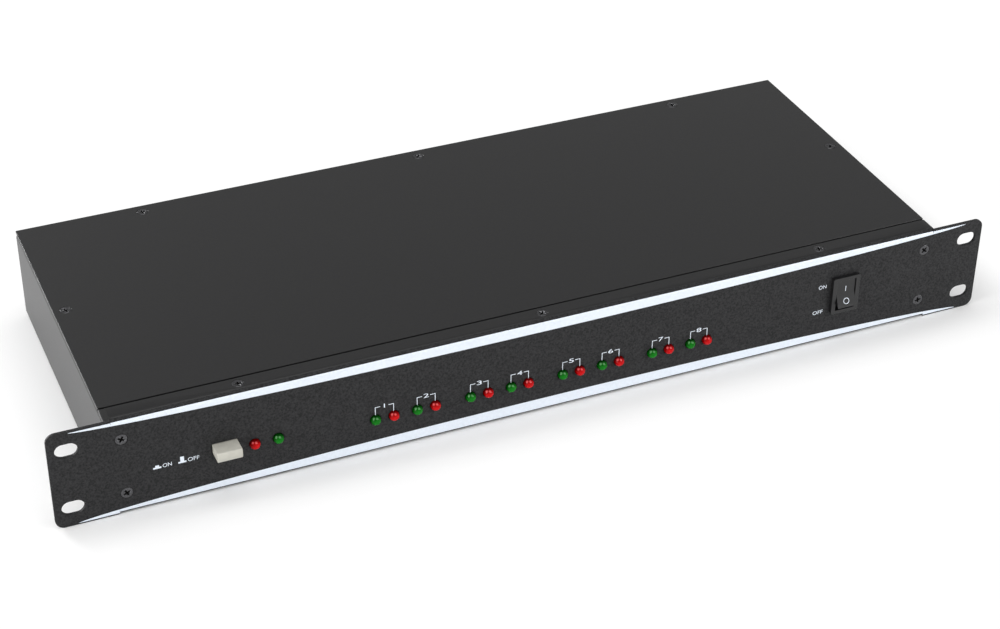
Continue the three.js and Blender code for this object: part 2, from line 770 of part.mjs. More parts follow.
// Power switch housing: a bezel on the panel, a body behind it, and three lugs.
function switchHousing() {
  const bezel = alongY(
    roundedRectangle(rockerX, rockerZ, bezelWidth, bezelHeight, bezelCornerRadius, 2),
    -bezelProud,
    -seatGap,
  );
  const bodyRearY = switchBodyDepth;
  const body = alongY(
    roundedRectangle(rockerX, rockerZ, switchBodyWidth, switchBodyHeight, fitGap, 1),
    -seatGap - partSink,
    bodyRearY,
  );
  const lugs = [-1, 0, 1].map((i) => block(
    rockerX - switchLugWidth / 2,
    bodyRearY - partSink,
    rockerZ + i * switchLugPitch - switchLugThick / 2,
    rockerX + switchLugWidth / 2,
    bodyRearY + switchLugLength,
    rockerZ + i * switchLugPitch + switchLugThick / 2,
  ));
  const cavityWidth = bezelWidth - 2 * bezelWallX;
  const cavityHeight = bezelHeight - 2 * bezelWallZ;
  const cavity = block(
    rockerX - cavityWidth / 2,
    -bezelProud - overrun,
    rockerZ - cavityHeight / 2,
    rockerX + cavityWidth / 2,
    switchCavityDepth,
    rockerZ + cavityHeight / 2,
  );
  const axleHalf = cavityWidth / 2 + rockerAxleBite;
  const axleHole = alongX(
    circle(rockerAxleY, rockerZ, rockerAxleRadius + rockerRunGap, smallSides),
    rockerX - axleHalf,
    rockerX + axleHalf,
  );
  return cut(join(bezel, body, ...lugs), cavity, axleHole);
}

// Rocker: two flat faces that meet in a low valley, and an axle at the origin that it turns on.
function rocker() {
  const tilt = THREE.MathUtils.degToRad(rockerHalfAngle);
  const reach = rockerProud + rockerAxleY;
  const cavityHalfWidth = bezelWidth / 2 - bezelWallX;
  const cavityHalfHeight = bezelHeight / 2 - bezelWallZ;
  const faceHalf = (cavityHalfHeight - rockerRunGap - reach * Math.sin(tilt)) / Math.cos(tilt);
  const valley = faceHalf * Math.tan(tilt);
  const outline = [
    at(-reach, -faceHalf),
    at(0, -rockerRootHalf),
    at(rockerRootDepth, 0),
    at(0, rockerRootHalf),
    at(-reach, faceHalf),
    at(-reach + valley, 0),
  ];
  const half = cavityHalfWidth - rockerRunGap;
  const axleHalf = cavityHalfWidth + rockerAxleBite - rockerRunGap;
  const paddle = alongX(outline, -half, half);
  const axle = alongX(circle(0, 0, rockerAxleRadius, smallSides), -axleHalf, axleHalf);
  return join(paddle, axle);
}

// Flange, screws and barrel that every rear socket shares, facing +Y with its axis at the origin.
function socketShellBody() {
  const flange = alongY(
    roundedRectangle(0, 0, socketFlangeWidth, socketFlangeHeight, socketFlangeRadius, 2),
    -socketFlangeThick,
    0,
  );
  const rim = cylinderY(0, 0, socketRimRadius, -partSink, socketRimProud);
  const barrelEnd = -socketFlangeThick - seatGap - socketBarrelDepth;
  const barrel = cylinderY(0, 0, socketBarrelRadius, barrelEnd, -partSink, smallSides);
  const screws = [-1, 1].map((s) => (
    cylinderY(s * socketScrewX, s * socketScrewZ, socketScrewRadius, -partSink, socketScrewProud, tinySides)
  ));
  return join(flange, rim, barrel, ...screws);
}

// The three contacts stand on a circle, two level and one below.
const contactPlaces = [
  [-pinCircleRadius, 0],
  [pinCircleRadius, 0],
  [0, -pinCircleRadius],
];

function maleSocket() {
  const floorY = socketRimProud - socketBoreDepth;
  const bore = cylinderY(0, 0, socketBoreRadius, floorY, socketRimProud + overrun);
  const pins = contactPlaces.map(([x, z]) => (
    cylinderY(x, z, pinRadius, floorY - partSink, floorY + pinLength, tinySides)
  ));
  const key = block(-keyWidth / 2, floorY - partSink, -socketBoreRadius - partSink,
    keyWidth / 2, socketRimProud - partSink, -socketBoreRadius + keyHeight);
  return join(cut(socketShellBody(), bore), ...pins, key);
}

function femaleSocket() {
  const floorY = socketRimProud - socketBoreDepth;
  const pastRim = socketRimProud + overrun;
  const annulus = cut(
    cylinderY(0, 0, socketBoreRadius, floorY, pastRim),
    cylinderY(0, 0, socketCoreRadius, floorY - overrun, pastRim + overrun),
  );
  const coreFace = cylinderY(0, 0, socketCoreRadius + fitGap, socketRimProud - socketCoreRecess, pastRim);
  const holes = contactPlaces.map(([x, z]) => (
    cylinderY(x, z, pinHoleRadius, socketRimProud - pinHoleDepth, pastRim, tinySides)
  ));
  return cut(socketShellBody(), annulus, coreFace, ...holes, latchPocket());
}

// Pocket at the top of the rim, open down to the bore, that the latch tab slides in.
function latchPocket() {
  const half = latchWidth / 2 + runGap;
  return block(
    -half,
    socketRimProud - latchDepth - runGap,
    socketCoreRadius + fitGap,
    half,
    socketRimProud + overrun,
    latchTopZ + runGap,
  );
}

function latchTab() {
  const middleZ = latchTopZ - latchHeight / 2;
  const outline = roundedRectangle(0, middleZ, latchWidth, latchHeight, latchCornerRadius, 2);
  return alongY(outline, socketRimProud - latchDepth, socketRimProud + latchProud);
}

function mainsInlet() {
  const flangeWidth = inletBodyWidth + 2 * inletFlangeEar;
  const flangeHeight = inletBodyHeight + 2 * inletFlangeLip;
  const flange = alongY(
    roundedRectangle(0, 0, flangeWidth, flangeHeight, inletFlangeRadius, 3),
    -inletFlangeThick,
    0,
  );
  const bodyEnd = -inletFlangeThick - seatGap - inletBodyDepth;
  const body = block(-inletBodyWidth / 2, bodyEnd, -inletBodyHeight / 2,
    inletBodyWidth / 2, -partSink, inletBodyHeight / 2);
  const w = inletBodyWidth / 2 - inletRecessInset;
  const h = inletRecessHeight / 2;
  const c = inletRecessChamfer;
  const recess = alongY([
    at(-w, inletRecessRise - h),
    at(w, inletRecessRise - h),
    at(w, inletRecessRise + h - c),
    at(w - c, inletRecessRise + h),
    at(-w + c, inletRecessRise + h),
    at(-w, inletRecessRise + h - c),
  ], -inletRecessDepth, overrun);
  const bladePlaces = [[-bladeSpan / 2, -bladeDrop], [bladeSpan / 2, -bladeDrop], [0, earthRise]];
  const blades = bladePlaces.map(([x, z]) => (
    block(x - bladeThick / 2, -inletRecessDepth - partSink, inletRecessRise + z - bladeHeight / 2,
      x + bladeThick / 2, -inletRecessDepth + bladeLength, inletRecessRise + z + bladeHeight / 2)
  ));
  const pocketHalfWidth = drawerWidth / 2 + runGap;
  const pocketHalfHeight = drawerPocketHeight / 2;
  const pocket = block(-pocketHalfWidth, -drawerDepth - runGap, -drawerDrop - pocketHalfHeight,
    pocketHalfWidth, overrun, -drawerDrop + pocketHalfHeight);
  const screwX = flangeWidth / 2 - inletScrewInset;
  const screws = [-1, 1].map((s) => (
    cylinderY(s * screwX, 0, inletScrewRadius, -partSink, inletScrewProud, smallSides)
  ));
  return join(cut(join(flange, body), recess, pocket), ...blades, ...screws);
}

// Fuse drawer: a tray with a pocket for the fuse and a finger lip on its front.
function fuseDrawer() {
  const halfWidth = drawerWidth / 2;
  const halfHeight = drawerHeight / 2;
  const tray = block(-halfWidth, -drawerDepth, -halfHeight, halfWidth, 0, halfHeight);
  const lip = block(-halfWidth / 2, -partSink, halfHeight - drawerLipHeight,
    halfWidth / 2, drawerLipProud, halfHeight);
  const pocketHalf = fusePocketWidth / 2;
  const pocketEnd = fusePocketInset - drawerDepth;
  const pocket = block(-pocketHalf, pocketEnd, halfHeight - fusePocketDepth,
    pocketHalf, pocketEnd + fusePocketLength, halfHeight + overrun);
  return cut(join(tray, lip), pocket);
}

// Main board on its spacers, with its parts soldered on: a line driver for each output, capacitors,
// a heat sink and a header.
function mainBoard() {
  const top = mainBoardZ + boardThick;
  const board = block(mainBoardLeftX, mainBoardFrontY, mainBoardZ, mainBoardRightX,
    mainBoardFrontY + mainBoardDepth, top);
  const foot = top - partSink;
  const middleX = mainBoardLeftX + mainBoardWidth / 2;
  const acrossBoard = (share) => mainBoardLeftX + mainBoardWidth * share;
  const alongBoard = (share) => mainBoardFrontY + mainBoardDepth * share;
  const chipY = alongBoard(chipRowShare);
  const chips = Array.from({ length: outputCount }, (unused, i) => {
    const x = socketX(i + linkNames.length);
    return block(x - chipWidth / 2, chipY - chipLength / 2, foot,
      x + chipWidth / 2, chipY + chipLength / 2, top + chipHeight);
  });
  const capacitorY = alongBoard(capacitorShare);
  const capacitors = [-1, 0, 1].map((i) => {
    const outline = circle(middleX + i * capacitorPitch, capacitorY, capacitorRadius, smallSides);
    return alongZ(outline, foot, top + capacitorHeight);
  });
  const headerX = acrossBoard(headerAcrossShare);
  const headerY = alongBoard(headerAlongShare);
  const header = block(headerX - headerWidth / 2, headerY - headerDepth / 2, foot,
    headerX + headerWidth / 2, headerY + headerDepth / 2, top + headerHeight);
  const sinkX = acrossBoard(heatSinkAcrossShare);
  const sinkY = alongBoard(heatSinkAlongShare);
  const sink = heatSink(sinkX, sinkY, foot, top + heatSinkHeight);
  return join(board, ...mainBoardSpacers(), ...chips, ...capacitors, header, sink);
}

function mainBoardSpacers() {
  const left = mainBoardLeftX + mainBoardSpacerInset;
  const right = mainBoardRightX - mainBoardSpacerInset;
  const front = mainBoardFrontY + mainBoardSpacerInset;
  const rear = mainBoardFrontY + mainBoardDepth - mainBoardSpacerInset;
  return [left, (left + right) / 2, right].flatMap((x) => [front, rear].map((y) => (
    alongZ(circle(x, y, spacerRadius, tinySides), boxFloorZ + seatGap, mainBoardZ + partSink)
  )));
}

function heatSink(x, y, z0, z1) {
  const x0 = x - heatSinkWidth / 2;
  const base = block(x0, y, z0, x0 + heatSinkWidth, y + heatSinkBase, z1);
  const pitch = (heatSinkWidth - heatSinkFinThick) / (heatSinkFins - 1);
  const fins = Array.from({ length: heatSinkFins }, (unused, i) => block(
    x0 + i * pitch,
    y + heatSinkBase - partSink,
    z0,
    x0 + i * pitch + heatSinkFinThick,
    y + heatSinkBase + heatSinkFinDepth,
    z1,
  ));
  return join(base, ...fins);
}

// Transformer: a laminated core on two feet, with its winding bulging front and back.
function transformer() {
  const floor = boxFloorZ + seatGap;
  const core = block(transformerX - coreWidth / 2, transformerY - coreDepth / 2, floor,
    transformerX + coreWidth / 2, transformerY + coreDepth / 2, floor + coreHeight);
  const coil = alongY(
    roundedRectangle(transformerX, floor + coreHeight / 2, coilWidth, coilWidth, coilRadius, 3),
    transformerY - coreDepth / 2 - coilBulge,
    transformerY + coreDepth / 2 + coilBulge,
  );
  const feet = block(transformerX - coreWidth / 2 - coreFootLength, transformerY - coreDepth / 2, floor,
    transformerX + coreWidth / 2 + coreFootLength, transformerY + coreDepth / 2, floor + coreFootThick);
  return join(core, coil, feet);
}

// Assembly
const assembly = new THREE.Group();

function place(name, body, material, position = [0, 0, 0]) {
  const mesh = new THREE.Mesh(surface(body), material);
  mesh.name = name;
  mesh.position.set(...position);
  assembly.add(mesh);
  return mesh;
}

place('chassis', chassis(), boxPaint);
place('top_cover', topCover(), boxPaint);
place('front_panel', frontPanel(), panelPaint);

const frontScrew = screwBody().rotate([0, 0, 180]);
panelScrewPlaces.forEach(([x, z], i) => {
  place(`panel_screw_${i + 1}`, frontScrew, blackScrew, [x, 0, z]);
});

const topScrew = screwBody().rotate([90, 0, 0]);
coverScrewPlaces.forEach(([x, y], i) => {
  place(`cover_screw_${i + 1}`, topScrew, blackScrew, [x, y, boxTopZ]);
});

const lampBody = lamp();
lampPlaces().forEach(({ name, x, z, lens }) => place(name, lampBody, lens, [x, 0, z]));

place('terminate_button', terminateButton(), creamPlastic);
place('power_switch_housing', switchHousing(), blackPlastic);
const rockerAtRest = rocker().rotate([-rockerHalfAngle, 0, 0]);
place('power_rocker', rockerAtRest, blackPlastic, [rockerX, rockerAxleY, rockerZ]);

place('input_socket', maleSocket(), socketShell, [socketX(0), socketFaceY, rearRowZ]);
const outputBody = femaleSocket();
const latchBody = latchTab();
for (let i = 1; i < socketCount; i += 1) {
  const name = linkNames[i] ?? `output_${i + 1 - linkNames.length}`;
  place(`${name}_socket`, outputBody, socketShell, [socketX(i), socketFaceY, rearRowZ]);
  place(`${name}_latch`, latchBody, latchMetal, [socketX(i), socketFaceY, rearRowZ]);
}

place('mains_inlet', mainsInlet(), blackPlastic, [inletX, inletFaceY, rearRowZ]);
place('fuse_drawer', fuseDrawer(), blackPlastic, [inletX, inletFaceY, rearRowZ - drawerDrop]);
place('main_board', mainBoard(), boardLaminate);
place('lamp_board', lampBoard(), boardLaminate);
place('transformer', transformer(), coreSteel);

// The finished part stands with the bottom centre of its box at the origin.
const bounds = new THREE.Box3().setFromObject(assembly);
const middle = bounds.getCenter(new THREE.Vector3());
assembly.position.set(-middle.x, -middle.y, -bounds.min.z);

const part = new THREE.Group();
part.add(assembly);

export default part;
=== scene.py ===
import json
import math

import bmesh
import bpy
import numpy as np
from bpy.props import FloatProperty, FloatVectorProperty, PointerProperty
from mathutils import Matrix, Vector
from mathutils.geometry import tessellate_polygon


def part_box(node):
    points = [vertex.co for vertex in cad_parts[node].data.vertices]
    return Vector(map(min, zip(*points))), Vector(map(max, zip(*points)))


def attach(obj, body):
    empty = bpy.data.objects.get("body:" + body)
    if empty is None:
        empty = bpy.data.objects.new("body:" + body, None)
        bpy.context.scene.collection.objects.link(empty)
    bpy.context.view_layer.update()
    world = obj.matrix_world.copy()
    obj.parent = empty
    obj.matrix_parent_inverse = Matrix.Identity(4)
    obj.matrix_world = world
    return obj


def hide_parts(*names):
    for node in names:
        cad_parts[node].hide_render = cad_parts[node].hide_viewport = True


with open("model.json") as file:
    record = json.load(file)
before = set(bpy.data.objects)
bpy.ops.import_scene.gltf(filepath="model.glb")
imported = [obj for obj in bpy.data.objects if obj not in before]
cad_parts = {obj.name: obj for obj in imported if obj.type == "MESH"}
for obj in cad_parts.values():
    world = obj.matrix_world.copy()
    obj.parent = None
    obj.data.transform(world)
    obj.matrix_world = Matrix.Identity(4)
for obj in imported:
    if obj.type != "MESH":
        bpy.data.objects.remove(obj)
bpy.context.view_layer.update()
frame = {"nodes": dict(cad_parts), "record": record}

bl_info = {
    "name": "Rack Splitter Dressing",
    "version": (1, 0, 0),
    "blender": (4, 5, 0),
    "location": "View3D > Sidebar > Splitter",
    "description": "Finished surfaces, printing and materials for a rack-mounted DMX splitter",
    "category": "Object",
}

MM = 0.001
IMAGE_WIDTH = 1000

# Tolerances, in metres: what counts as one place, and how near two points are merged in a new
# mesh and in a copy of a node.
SAME = 1e-9
MERGE_NEW = 1e-7
MERGE_COPY = 1e-6

# Edges flatter than the first angle lie inside a flat face. Those sharper than the second are
# rounded.
FLAT_ANGLE = math.radians(0.5)
ROUNDED_ANGLE = math.radians(40)

# How many points there are round a full circle of each thing, and along and across a stripe.
SCREW_POINTS = 72
PAN_POINTS = 48
LAMP_POINTS = 40
BORE_POINTS = 72
BARREL_POINTS = 64
CORE_POINTS = 56
CONTACT_POINTS = 28
PIN_POINTS = 24
STRIPE_POINTS = (81, 13)

# How many steps there are in an arc: an ear's corner, the bend's outside and inside, a lamp's
# dome, a pin's tip, the bore beside its latch, and the smallest corners.
EAR_STEPS = 8
BEND_STEPS = (10, 6)
DOME_STEPS = 14
TIP_STEPS = 6
KEYHOLE_STEPS = 60
SMALL_STEPS = 2

# How many rows of points there are over a screw's cross, and on round its rim.
DRIVE_ROWS = 22
RIM_ROWS = 5

RECORD = frame["record"]
BODY_OF = {node: body for body, nodes in RECORD["behaviour"]["bodies"].items() for node in nodes}
SLOT_OF = {row["node"]: row["material_slot"] for row in RECORD["subparts"]}
RECORD_JOINTS = {row["name"]: row for row in RECORD["behaviour"]["joints"]}

# Which way a piece faces: the rows say where its own right, up and outward axes go.
FACING_FRONT = np.array([[1.0, 0, 0], [0, 0, 1], [0, -1, 0]])
FACING_REAR = np.array([[-1.0, 0, 0], [0, 0, 1], [0, 1, 0]])
FACING_UP = np.eye(3)

# Words on the panel: what each stands beside, its text, its middle right of and above the middle
# of that node, and its width, in millimetres.
WORD_NODES = {"switch": "power_switch_housing", "button": "terminate_button"}
WORDS = [
    ("switch", "ON", -12.6, 6.1, 4.3),
    ("switch", "OFF", -14.1, -8.6, 5.7),
    ("button", "ON", -27.4, -2.3, 4.2),
    ("button", "OFF", -15.1, -2.3, 5.4),
]

# Name, place, aim, (width, height), in metres, and watts.
SOFT_BOXES = [
    ("top_soft_box", (0, -0.1, 2.0), (0, 0, 0), (1.6, 1.6), 13.2),
    ("left_soft_box", (-1.6, -0.25, 0.55), (0, 0, 0), (1.0, 0.8), 19),
    ("left_strip", (-0.9, 1.7, 0.35), (0, 0, 0), (0.8, 0.5), 32),
    ("right_soft_box", (0.85, -0.75, 0.45), (0.1, 0, 0), (0.5, 0.4), 4.5),
]


# Sizes and colours

def linear(code):
    """The scene-linear colour of an sRGB hex code."""
    srgb = np.array([int(code[i:i + 2], 16) for i in (1, 3, 5)]) / 255
    bright = ((srgb + 0.055) / 1.055) ** 2.4
    return tuple(np.where(srgb <= 0.04045, srgb / 12.92, bright))


def length(name, description, millimetres):
    return FloatProperty(
        name=name, description=description, default=millimetres * MM, unit="LENGTH", precision=5
    )


def angle(name, description, degrees):
    return FloatProperty(
        name=name, description=description, default=math.radians(degrees), unit="ROTATION"
    )


def number(name, description, value):
    return FloatProperty(name=name, description=description, default=value, min=0)


def colour(name, description, code):
    return FloatVectorProperty(
        name=name, description=description, default=linear(code), subtype="COLOR",
        size=3, min=0, max=1,
    )


class PanelSizes(bpy.types.PropertyGroup):
    sheet: length("Sheet", "Thickness of the panel", 1.6)
    corner: length("Corner radius", "Round corners of the ears", 4.5)
    ear: length("Ear width", "From the panel's end to the relief slit", 29.3)
    relief: length("Relief slit", "Width of the slit between the bent edge and the ear", 0.06)
    relief_depth: length("Relief depth", "How far the slit runs past the bend", 0.6)
    bend: length("Bend radius", "Outside radius of the bent edges", 2.1)
    lip: length("Lip", "Straight stretch behind the bend", 0.3)
    slot_inset: length("Slot inset", "From the panel's end to the middle of a rack slot", 8.75)
    slot_rise: length("Slot rise", "From the panel's middle to the middle of a rack slot", 15.875)
    slot_length: length("Slot length", "Length of a rack slot", 10.6)
    slot_height: length("Slot height", "Height of a rack slot", 7.2)
    lamp_hole: length("Lamp hole", "Radius of a hole for a lamp", 2.7)
    button_gap: length("Button gap", "Gap all round the button", 0.4)
    switch_width: length("Switch window width", "Width of the switch's opening", 13.9)
    switch_height: length("Switch window height", "Height of the switch's opening", 19.1)
    chamfer: length("Edge break", "Width of the broken edges", 0.18)
    paint: colour("Paint", "Fine textured powder coat", "#2a2a2b")


class PrintSizes(bpy.types.PropertyGroup):
    ink: length("Ink film", "Thickness of the printed film", 0.03)
    stripe_half: length("Stripe half length", "From the middle to a stripe's point", 231)
    stripe_outer: length("Stripe outer edge", "Outer edge's height above the panel's middle", 25.2)
    upper_depth: length("Upper stripe depth", "Height of the upper stripe at its middle", 5.2)
    lower_depth: length("Lower stripe depth", "Height of the lower stripe at its middle", 6.3)
    lower_trim: length("Lower stripe trim", "Left off the lower stripe on the bend", 0.7)
    stripe_power: number("Stripe fullness", "How blunt the ends of the stripes are", 0.62)
    line: length("Line width", "Width of the bracket lines", 0.32)
    bracket_rise: length("Bracket rise", "Bracket's upper line above the lamps", 6.7)
    bracket_foot: length("Bracket foot", "Lower end of the bracket above the lamps", 2.5)
    bracket_arm: length("Bracket arm", "Length of the line from each corner to the number", 2.5)
    digit_height: length("Digit height", "Height of the channel numbers", 2.3)
    digit_width: length("Digit width", "Width of the channel numbers", 2.6)
    one_width: length("One's width", "Width of the number 1", 0.55)
    word_height: length("Word height", "Height of the words ON and OFF", 2.1)
    sign_gap: length("Sign gap", "From a button word's edge to the middle of its sign", 2.6)
    sign_drop: length("Sign drop", "Foot of the sign below the word's middle", 1.0)
    sign_half: length("Sign half width", "Half the width of the sign's base", 1.9)
    sign_base: length("Sign base", "Height of the sign's base", 0.9)
    post_half: length("Sign post half width", "Half the width of the sign's post", 0.9)
    pressed_post: length("Pressed post", "Height of the post in the sign for pressed", 1.0)
    raised_post: length("Raised post", "Height of the post in the sign for raised", 2.6)
    ink_colour: colour("Ink", "White screen print", "#eaf2fc")


class BoxSizes(bpy.types.PropertyGroup):
    sheet: length("Sheet", "Thickness of the cover", 1.2)
    groove: length("Groove", "From the strip's rear edge to the cover", 1.0)
    strip_start: length("Strip front edge", "From the panel's face to the strip's front edge", 3)
    strip_end: length("Strip rear edge", "From the panel's face to the strip's rear edge", 12.6)
    end_run: length("Strip end run", "From the side of the box to where the folded strip ends", 4)
    end_drop: length("Strip end drop", "How much lower the strip's ends are than the strip", 0.02)
    groove_end_drop: length("Groove end drop", "Groove's ends below the strip", 0.8)
    step: length("Step", "How far the tongue lies below the cover", 2.2)
    tongue_overlap: length("Tongue overlap", "How far the tongue runs on under the cover", 8)
    tongue_inset: length("Tongue inset", "From the box's side to the tongue's end", 12.6)
    corner: length("Cover corner", "Corner radius of the cover", 0.4)
    edge: length("Edge break", "Width of the broken edges of the sheet", 0.15)
    end_gap: length("Strip end gap", "From the strip's end to the side of the box", 0.2)
    paint: colour("Paint", "Smooth matt powder coat", "#131314")


class ScrewSizes(bpy.types.PropertyGroup):
    head: length("Head radius", "Radius of a countersunk head", 2.75)
    head_depth: length("Head depth", "Depth of a countersunk head", 1.1)
    shank: length("Shank radius", "Radius of the thread", 1.4)
    total: length("Length", "Length of a screw", 6.0)
    arm: length("Drive arm", "From the middle to the end of the cross", 1.8)
    half: length("Drive half width", "Half the width of an arm of the cross", 0.55)
    recess: length("Drive depth", "Depth of the cross", 1.0)
    side_slope: number("Side slope", "Share of an arm's half width that is its sloping side", 0.7)
    end_slope: number("End slope", "Share of an arm's length that is its sloping end", 0.35)
    gap: length("Gap", "Gap all round a screw in its hole", 0.25)
    rim_round: length("Rim rounding", "How far the head's face falls at its rim", 0.12)
    land: length("Land", "Height of the head's rim, and the chamfer at the thread's end", 0.3)
    turn: angle("Turn", "How much further each screw is turned than the one before", 37)
    steel: colour("Steel", "Black oxide on steel", "#58585a")
    # Painted shade in the cross recess, where little light reaches: the drive's colour.
    oiled: colour("Drive", "Oil and dirt in the drive", "#0c0c0c")


class LampSizes(bpy.types.PropertyGroup):
    radius: length("Radius", "Radius of a lamp", 2.45)
    proud: length("Height", "How far a lamp stands out of the panel", 3.0)
    rim: length("Rim radius", "Radius of the rim behind the front wall", 2.9)
    rim_depth: length("Rim depth", "Thickness of the rim", 1.0)
    green: colour("Green lens", "Tinted epoxy, green", "#06660e")
    red: colour("Red lens", "Tinted epoxy, red", "#b00408")


class ButtonSizes(bpy.types.PropertyGroup):
    edge: length("Edge radius", "Rounding of the cap's edges", 0.3)
    plastic: colour("Plastic", "Cream ABS", "#c2c0b6")


class SwitchSizes(bpy.types.PropertyGroup):
    edge: length("Edge radius", "Rounding of the moulded edges", 0.3)
    face_turn: angle("Face turn", "From the upper to the lower face of the rocker", 24)
    face_depth: length("Face depth", "From the rocker's foremost edge back to its upper face", 3.05)
    line_mark: length("I height", "Height of the I", 3.1)
    line_rise: length("I rise", "Middle of the I above the axle", 3.3)
    ring_width: length("O width", "Width of the O", 3.3)
    ring_height: length("O height", "Height of the O", 3.2)
    ring_drop: length("O drop", "Middle of the O below the valley, along the face", 4.3)
    valley_rise: length("Valley rise", "Valley between the two faces above the axle", 0.8)
    mark_line: length("Mark line", "Line width of the I and the O", 0.3)
    plastic: colour("Plastic", "Black nylon", "#161617")


class SocketSizes(bpy.types.PropertyGroup):
    flange_width: length("Flange width", "Width of a socket's flange", 26)
    flange_height: length("Flange height", "Height of a socket's flange", 31)
    flange: length("Flange thickness", "Thickness of a socket's flange", 2.2)
    corner: length("Flange corner", "Corner radius of a socket's flange", 2.5)
    rim: length("Rim radius", "Outside radius of the raised rim", 11.6)
    rim_proud: length("Rim height", "How far the rim stands above the flange", 1.4)
    barrel: length("Barrel radius", "Radius of the barrel behind the wall", 11.7)
    barrel_depth: length("Barrel depth", "From the flange's face to the barrel's end", 22.5)
    bore: length("Bore radius", "Radius of the bore", 9.7)
    bore_depth: length("Bore depth", "From the rim to the bore's floor", 14)
    core: length("Core radius", "Radius of the insulating core", 7.5)
    core_recess: length("Core recess", "Face of the core below the rim", 0.5)
    circle: length("Contact circle", "From the axis to each contact", 3.97)
    pin: length("Pin radius", "Radius of a pin", 1.2)
    pin_length: length("Pin length", "Length of a pin", 11)
    hole: length("Contact hole", "Radius of a hole in the core", 1.5)
    hole_depth: length("Contact depth", "Depth of a hole in the core", 8.5)
    sleeve: length("Contact wall", "Wall of a contact sleeve", 0.28)
    key_width: length("Key width", "Width of the key in the bore", 3)
    key_height: length("Key height", "Height of the key in the bore", 1.6)
    key_bite: length("Key bite", "How far the key runs into the bore's wall", 0.4)
    key_drop: length("Key drop", "Face of the key below the rim", 0.4)
    key_edge: length("Key edge", "Width of the key's broken edges", 0.2)
    sleeve_gap: length("Sleeve gap", "Gap between a contact sleeve and its hole", 0.02)
    sleeve_drop: length("Sleeve drop", "Mouth of a contact sleeve below the core's face", 1.2)
    lap: length("Lap", "How far the cup and the core run on inside what they meet", 0.2)
    screw_x: length("Screw inset across", "From the axis to a fixing screw, across", 9.5)
    screw_z: length("Screw inset up", "From the axis to a fixing screw, up", 12)
    screw: length("Screw radius", "Radius of a fixing screw's head", 2.6)
    screw_proud: length("Screw height", "Height of a fixing screw's head", 0.8)
    notch_half: length("Latch notch half width", "Half the width of the latch's pocket", 4.2)
    notch_top: length("Latch notch top", "Top of the latch's pocket above the axis", 14.7)
    notch_depth: length("Latch notch depth", "Pocket floor below the rim", 3.0)
    edge: length("Edge break", "Width of the broken edges", 0.3)
    plastic: colour("Shell", "Black glass-filled nylon", "#1a1a1c")
    contact: colour("Contacts", "Silver plated brass", "#c9c8c2")
    latch: colour("Latch", "Plain stamped steel", "#a9acb0")


class InletSizes(bpy.types.PropertyGroup):
    width: length("Flange width", "Width of the flange", 50)
    height: length("Flange height", "Height of the flange", 34)
    flange: length("Flange thickness", "Thickness of the flange", 3)
    corner: length("Flange corner", "Corner radius of the flange", 4)
    body_width: length("Body width", "Width of the body", 31)
    body_height: length("Body height", "Height of the body", 30)
    body_end: length("Body depth", "From the flange's face to the body's end", 27.3)
    recess_width: length("Recess width", "Width of the connector recess", 24.4)
    recess_height: length("Recess height", "Height of the connector recess", 16.8)
    recess_rise: length("Recess rise", "Middle of the recess above the flange's middle", 4.6)
    recess_depth: length("Recess depth", "Depth of the connector recess", 15)
    recess_cut: length("Recess cut corners", "Cut corners at the top of the recess", 4.2)
    blade_thick: length("Blade thickness", "Thickness of a blade", 2)
    blade_height: length("Blade height", "Height of a blade", 4)
    blade_length: length("Blade length", "Length of a blade", 12)
    blade_span: length("Blade span", "From one outer blade to the other", 14)
    blade_drop: length("Blade drop", "Outer blades below the recess's middle", 2)
    blade_corner: length("Blade corner", "Corner radius of a blade", 0.2)
    blade_tip: length("Blade tip", "How much a blade narrows at its tip", 0.45)
    blade_taper: length("Blade taper", "Length of the narrowing tip", 1.0)
    blade_root: length("Blade root", "How far a blade runs into the recess's floor", 0.3)
    drawer_drop: length("Drawer drop", "Middle of the drawer below the flange's middle", 9.6)
    pocket_width: length("Pocket width", "Width of the drawer's pocket", 26.8)
    pocket_height: length("Pocket height", "Height of the drawer's pocket", 8.0)
    pocket_depth: length("Pocket depth", "Depth of the drawer's pocket", 20.4)
    pocket_corner: length("Pocket corner", "Corner radius of the drawer's pocket", 0.3)
    body_corner: length("Body corner", "Corner radius of the body", 0.5)
    screw_x: length("Screw inset", "From the middle to a fixing screw", 20)
    screw: length("Screw radius", "Radius of a fixing screw's head", 3.0)
    screw_proud: length("Screw height", "Height of a fixing screw's head", 1.0)
    edge: length("Edge break", "Width of the broken edges", 0.35)
    plastic: colour("Plastic", "Black thermoplastic", "#18181a")
    blade: colour("Blades", "Nickel plated brass", "#b9b6ae")


class InsideSizes(bpy.types.PropertyGroup):
    board: colour("Board", "Green solder resist", "#1f5a36")
    track: colour("Track", "Copper track under the resist", "#2c7347")
    core: colour("Core", "Varnished steel laminations", "#5f6164")


class StageSizes(bpy.types.PropertyGroup):
    focal: number("Focal length", "Focal length in pixels of a picture 1000 wide", 2205.8)
    sensor: length("Sensor width", "Width of the camera's sensor", 36)
    azimuth: angle("Azimuth", "Camera's turn from straight ahead", -23.25)
    elevation: angle("Elevation", "Camera's height as an angle", 33.74)
    roll: angle("Roll", "Camera's tilt about its own axis", 0.46)
    distance: length("Distance", "From the camera to its target", 1027.2)
    target_x: length("Target across", "Target to the right of the panel's middle", -25.4)
    target_z: length("Target height", "Target above the panel's middle", 35.4)
    floor_half: length("Floor half size", "Half the floor's side", 30000)
    near: length("Near floor", "How far from the object the floor is still plain paper", 6)
    far: length("Far floor", "How far from the object the floor is the white backdrop", 38)
    horizon: number("Horizon", "Height of a direction at which the backdrop starts to dim", 0.12)
    overhead: number("Overhead", "Height of a direction from which the ceiling is even", 0.42)
    ceiling: number("Ceiling", "Brightness of the studio above the backdrop", 0.36)
    paper: colour("Paper", "White studio paper", "#fbfbfb")


# Outlines, as arrays of points counter-clockwise

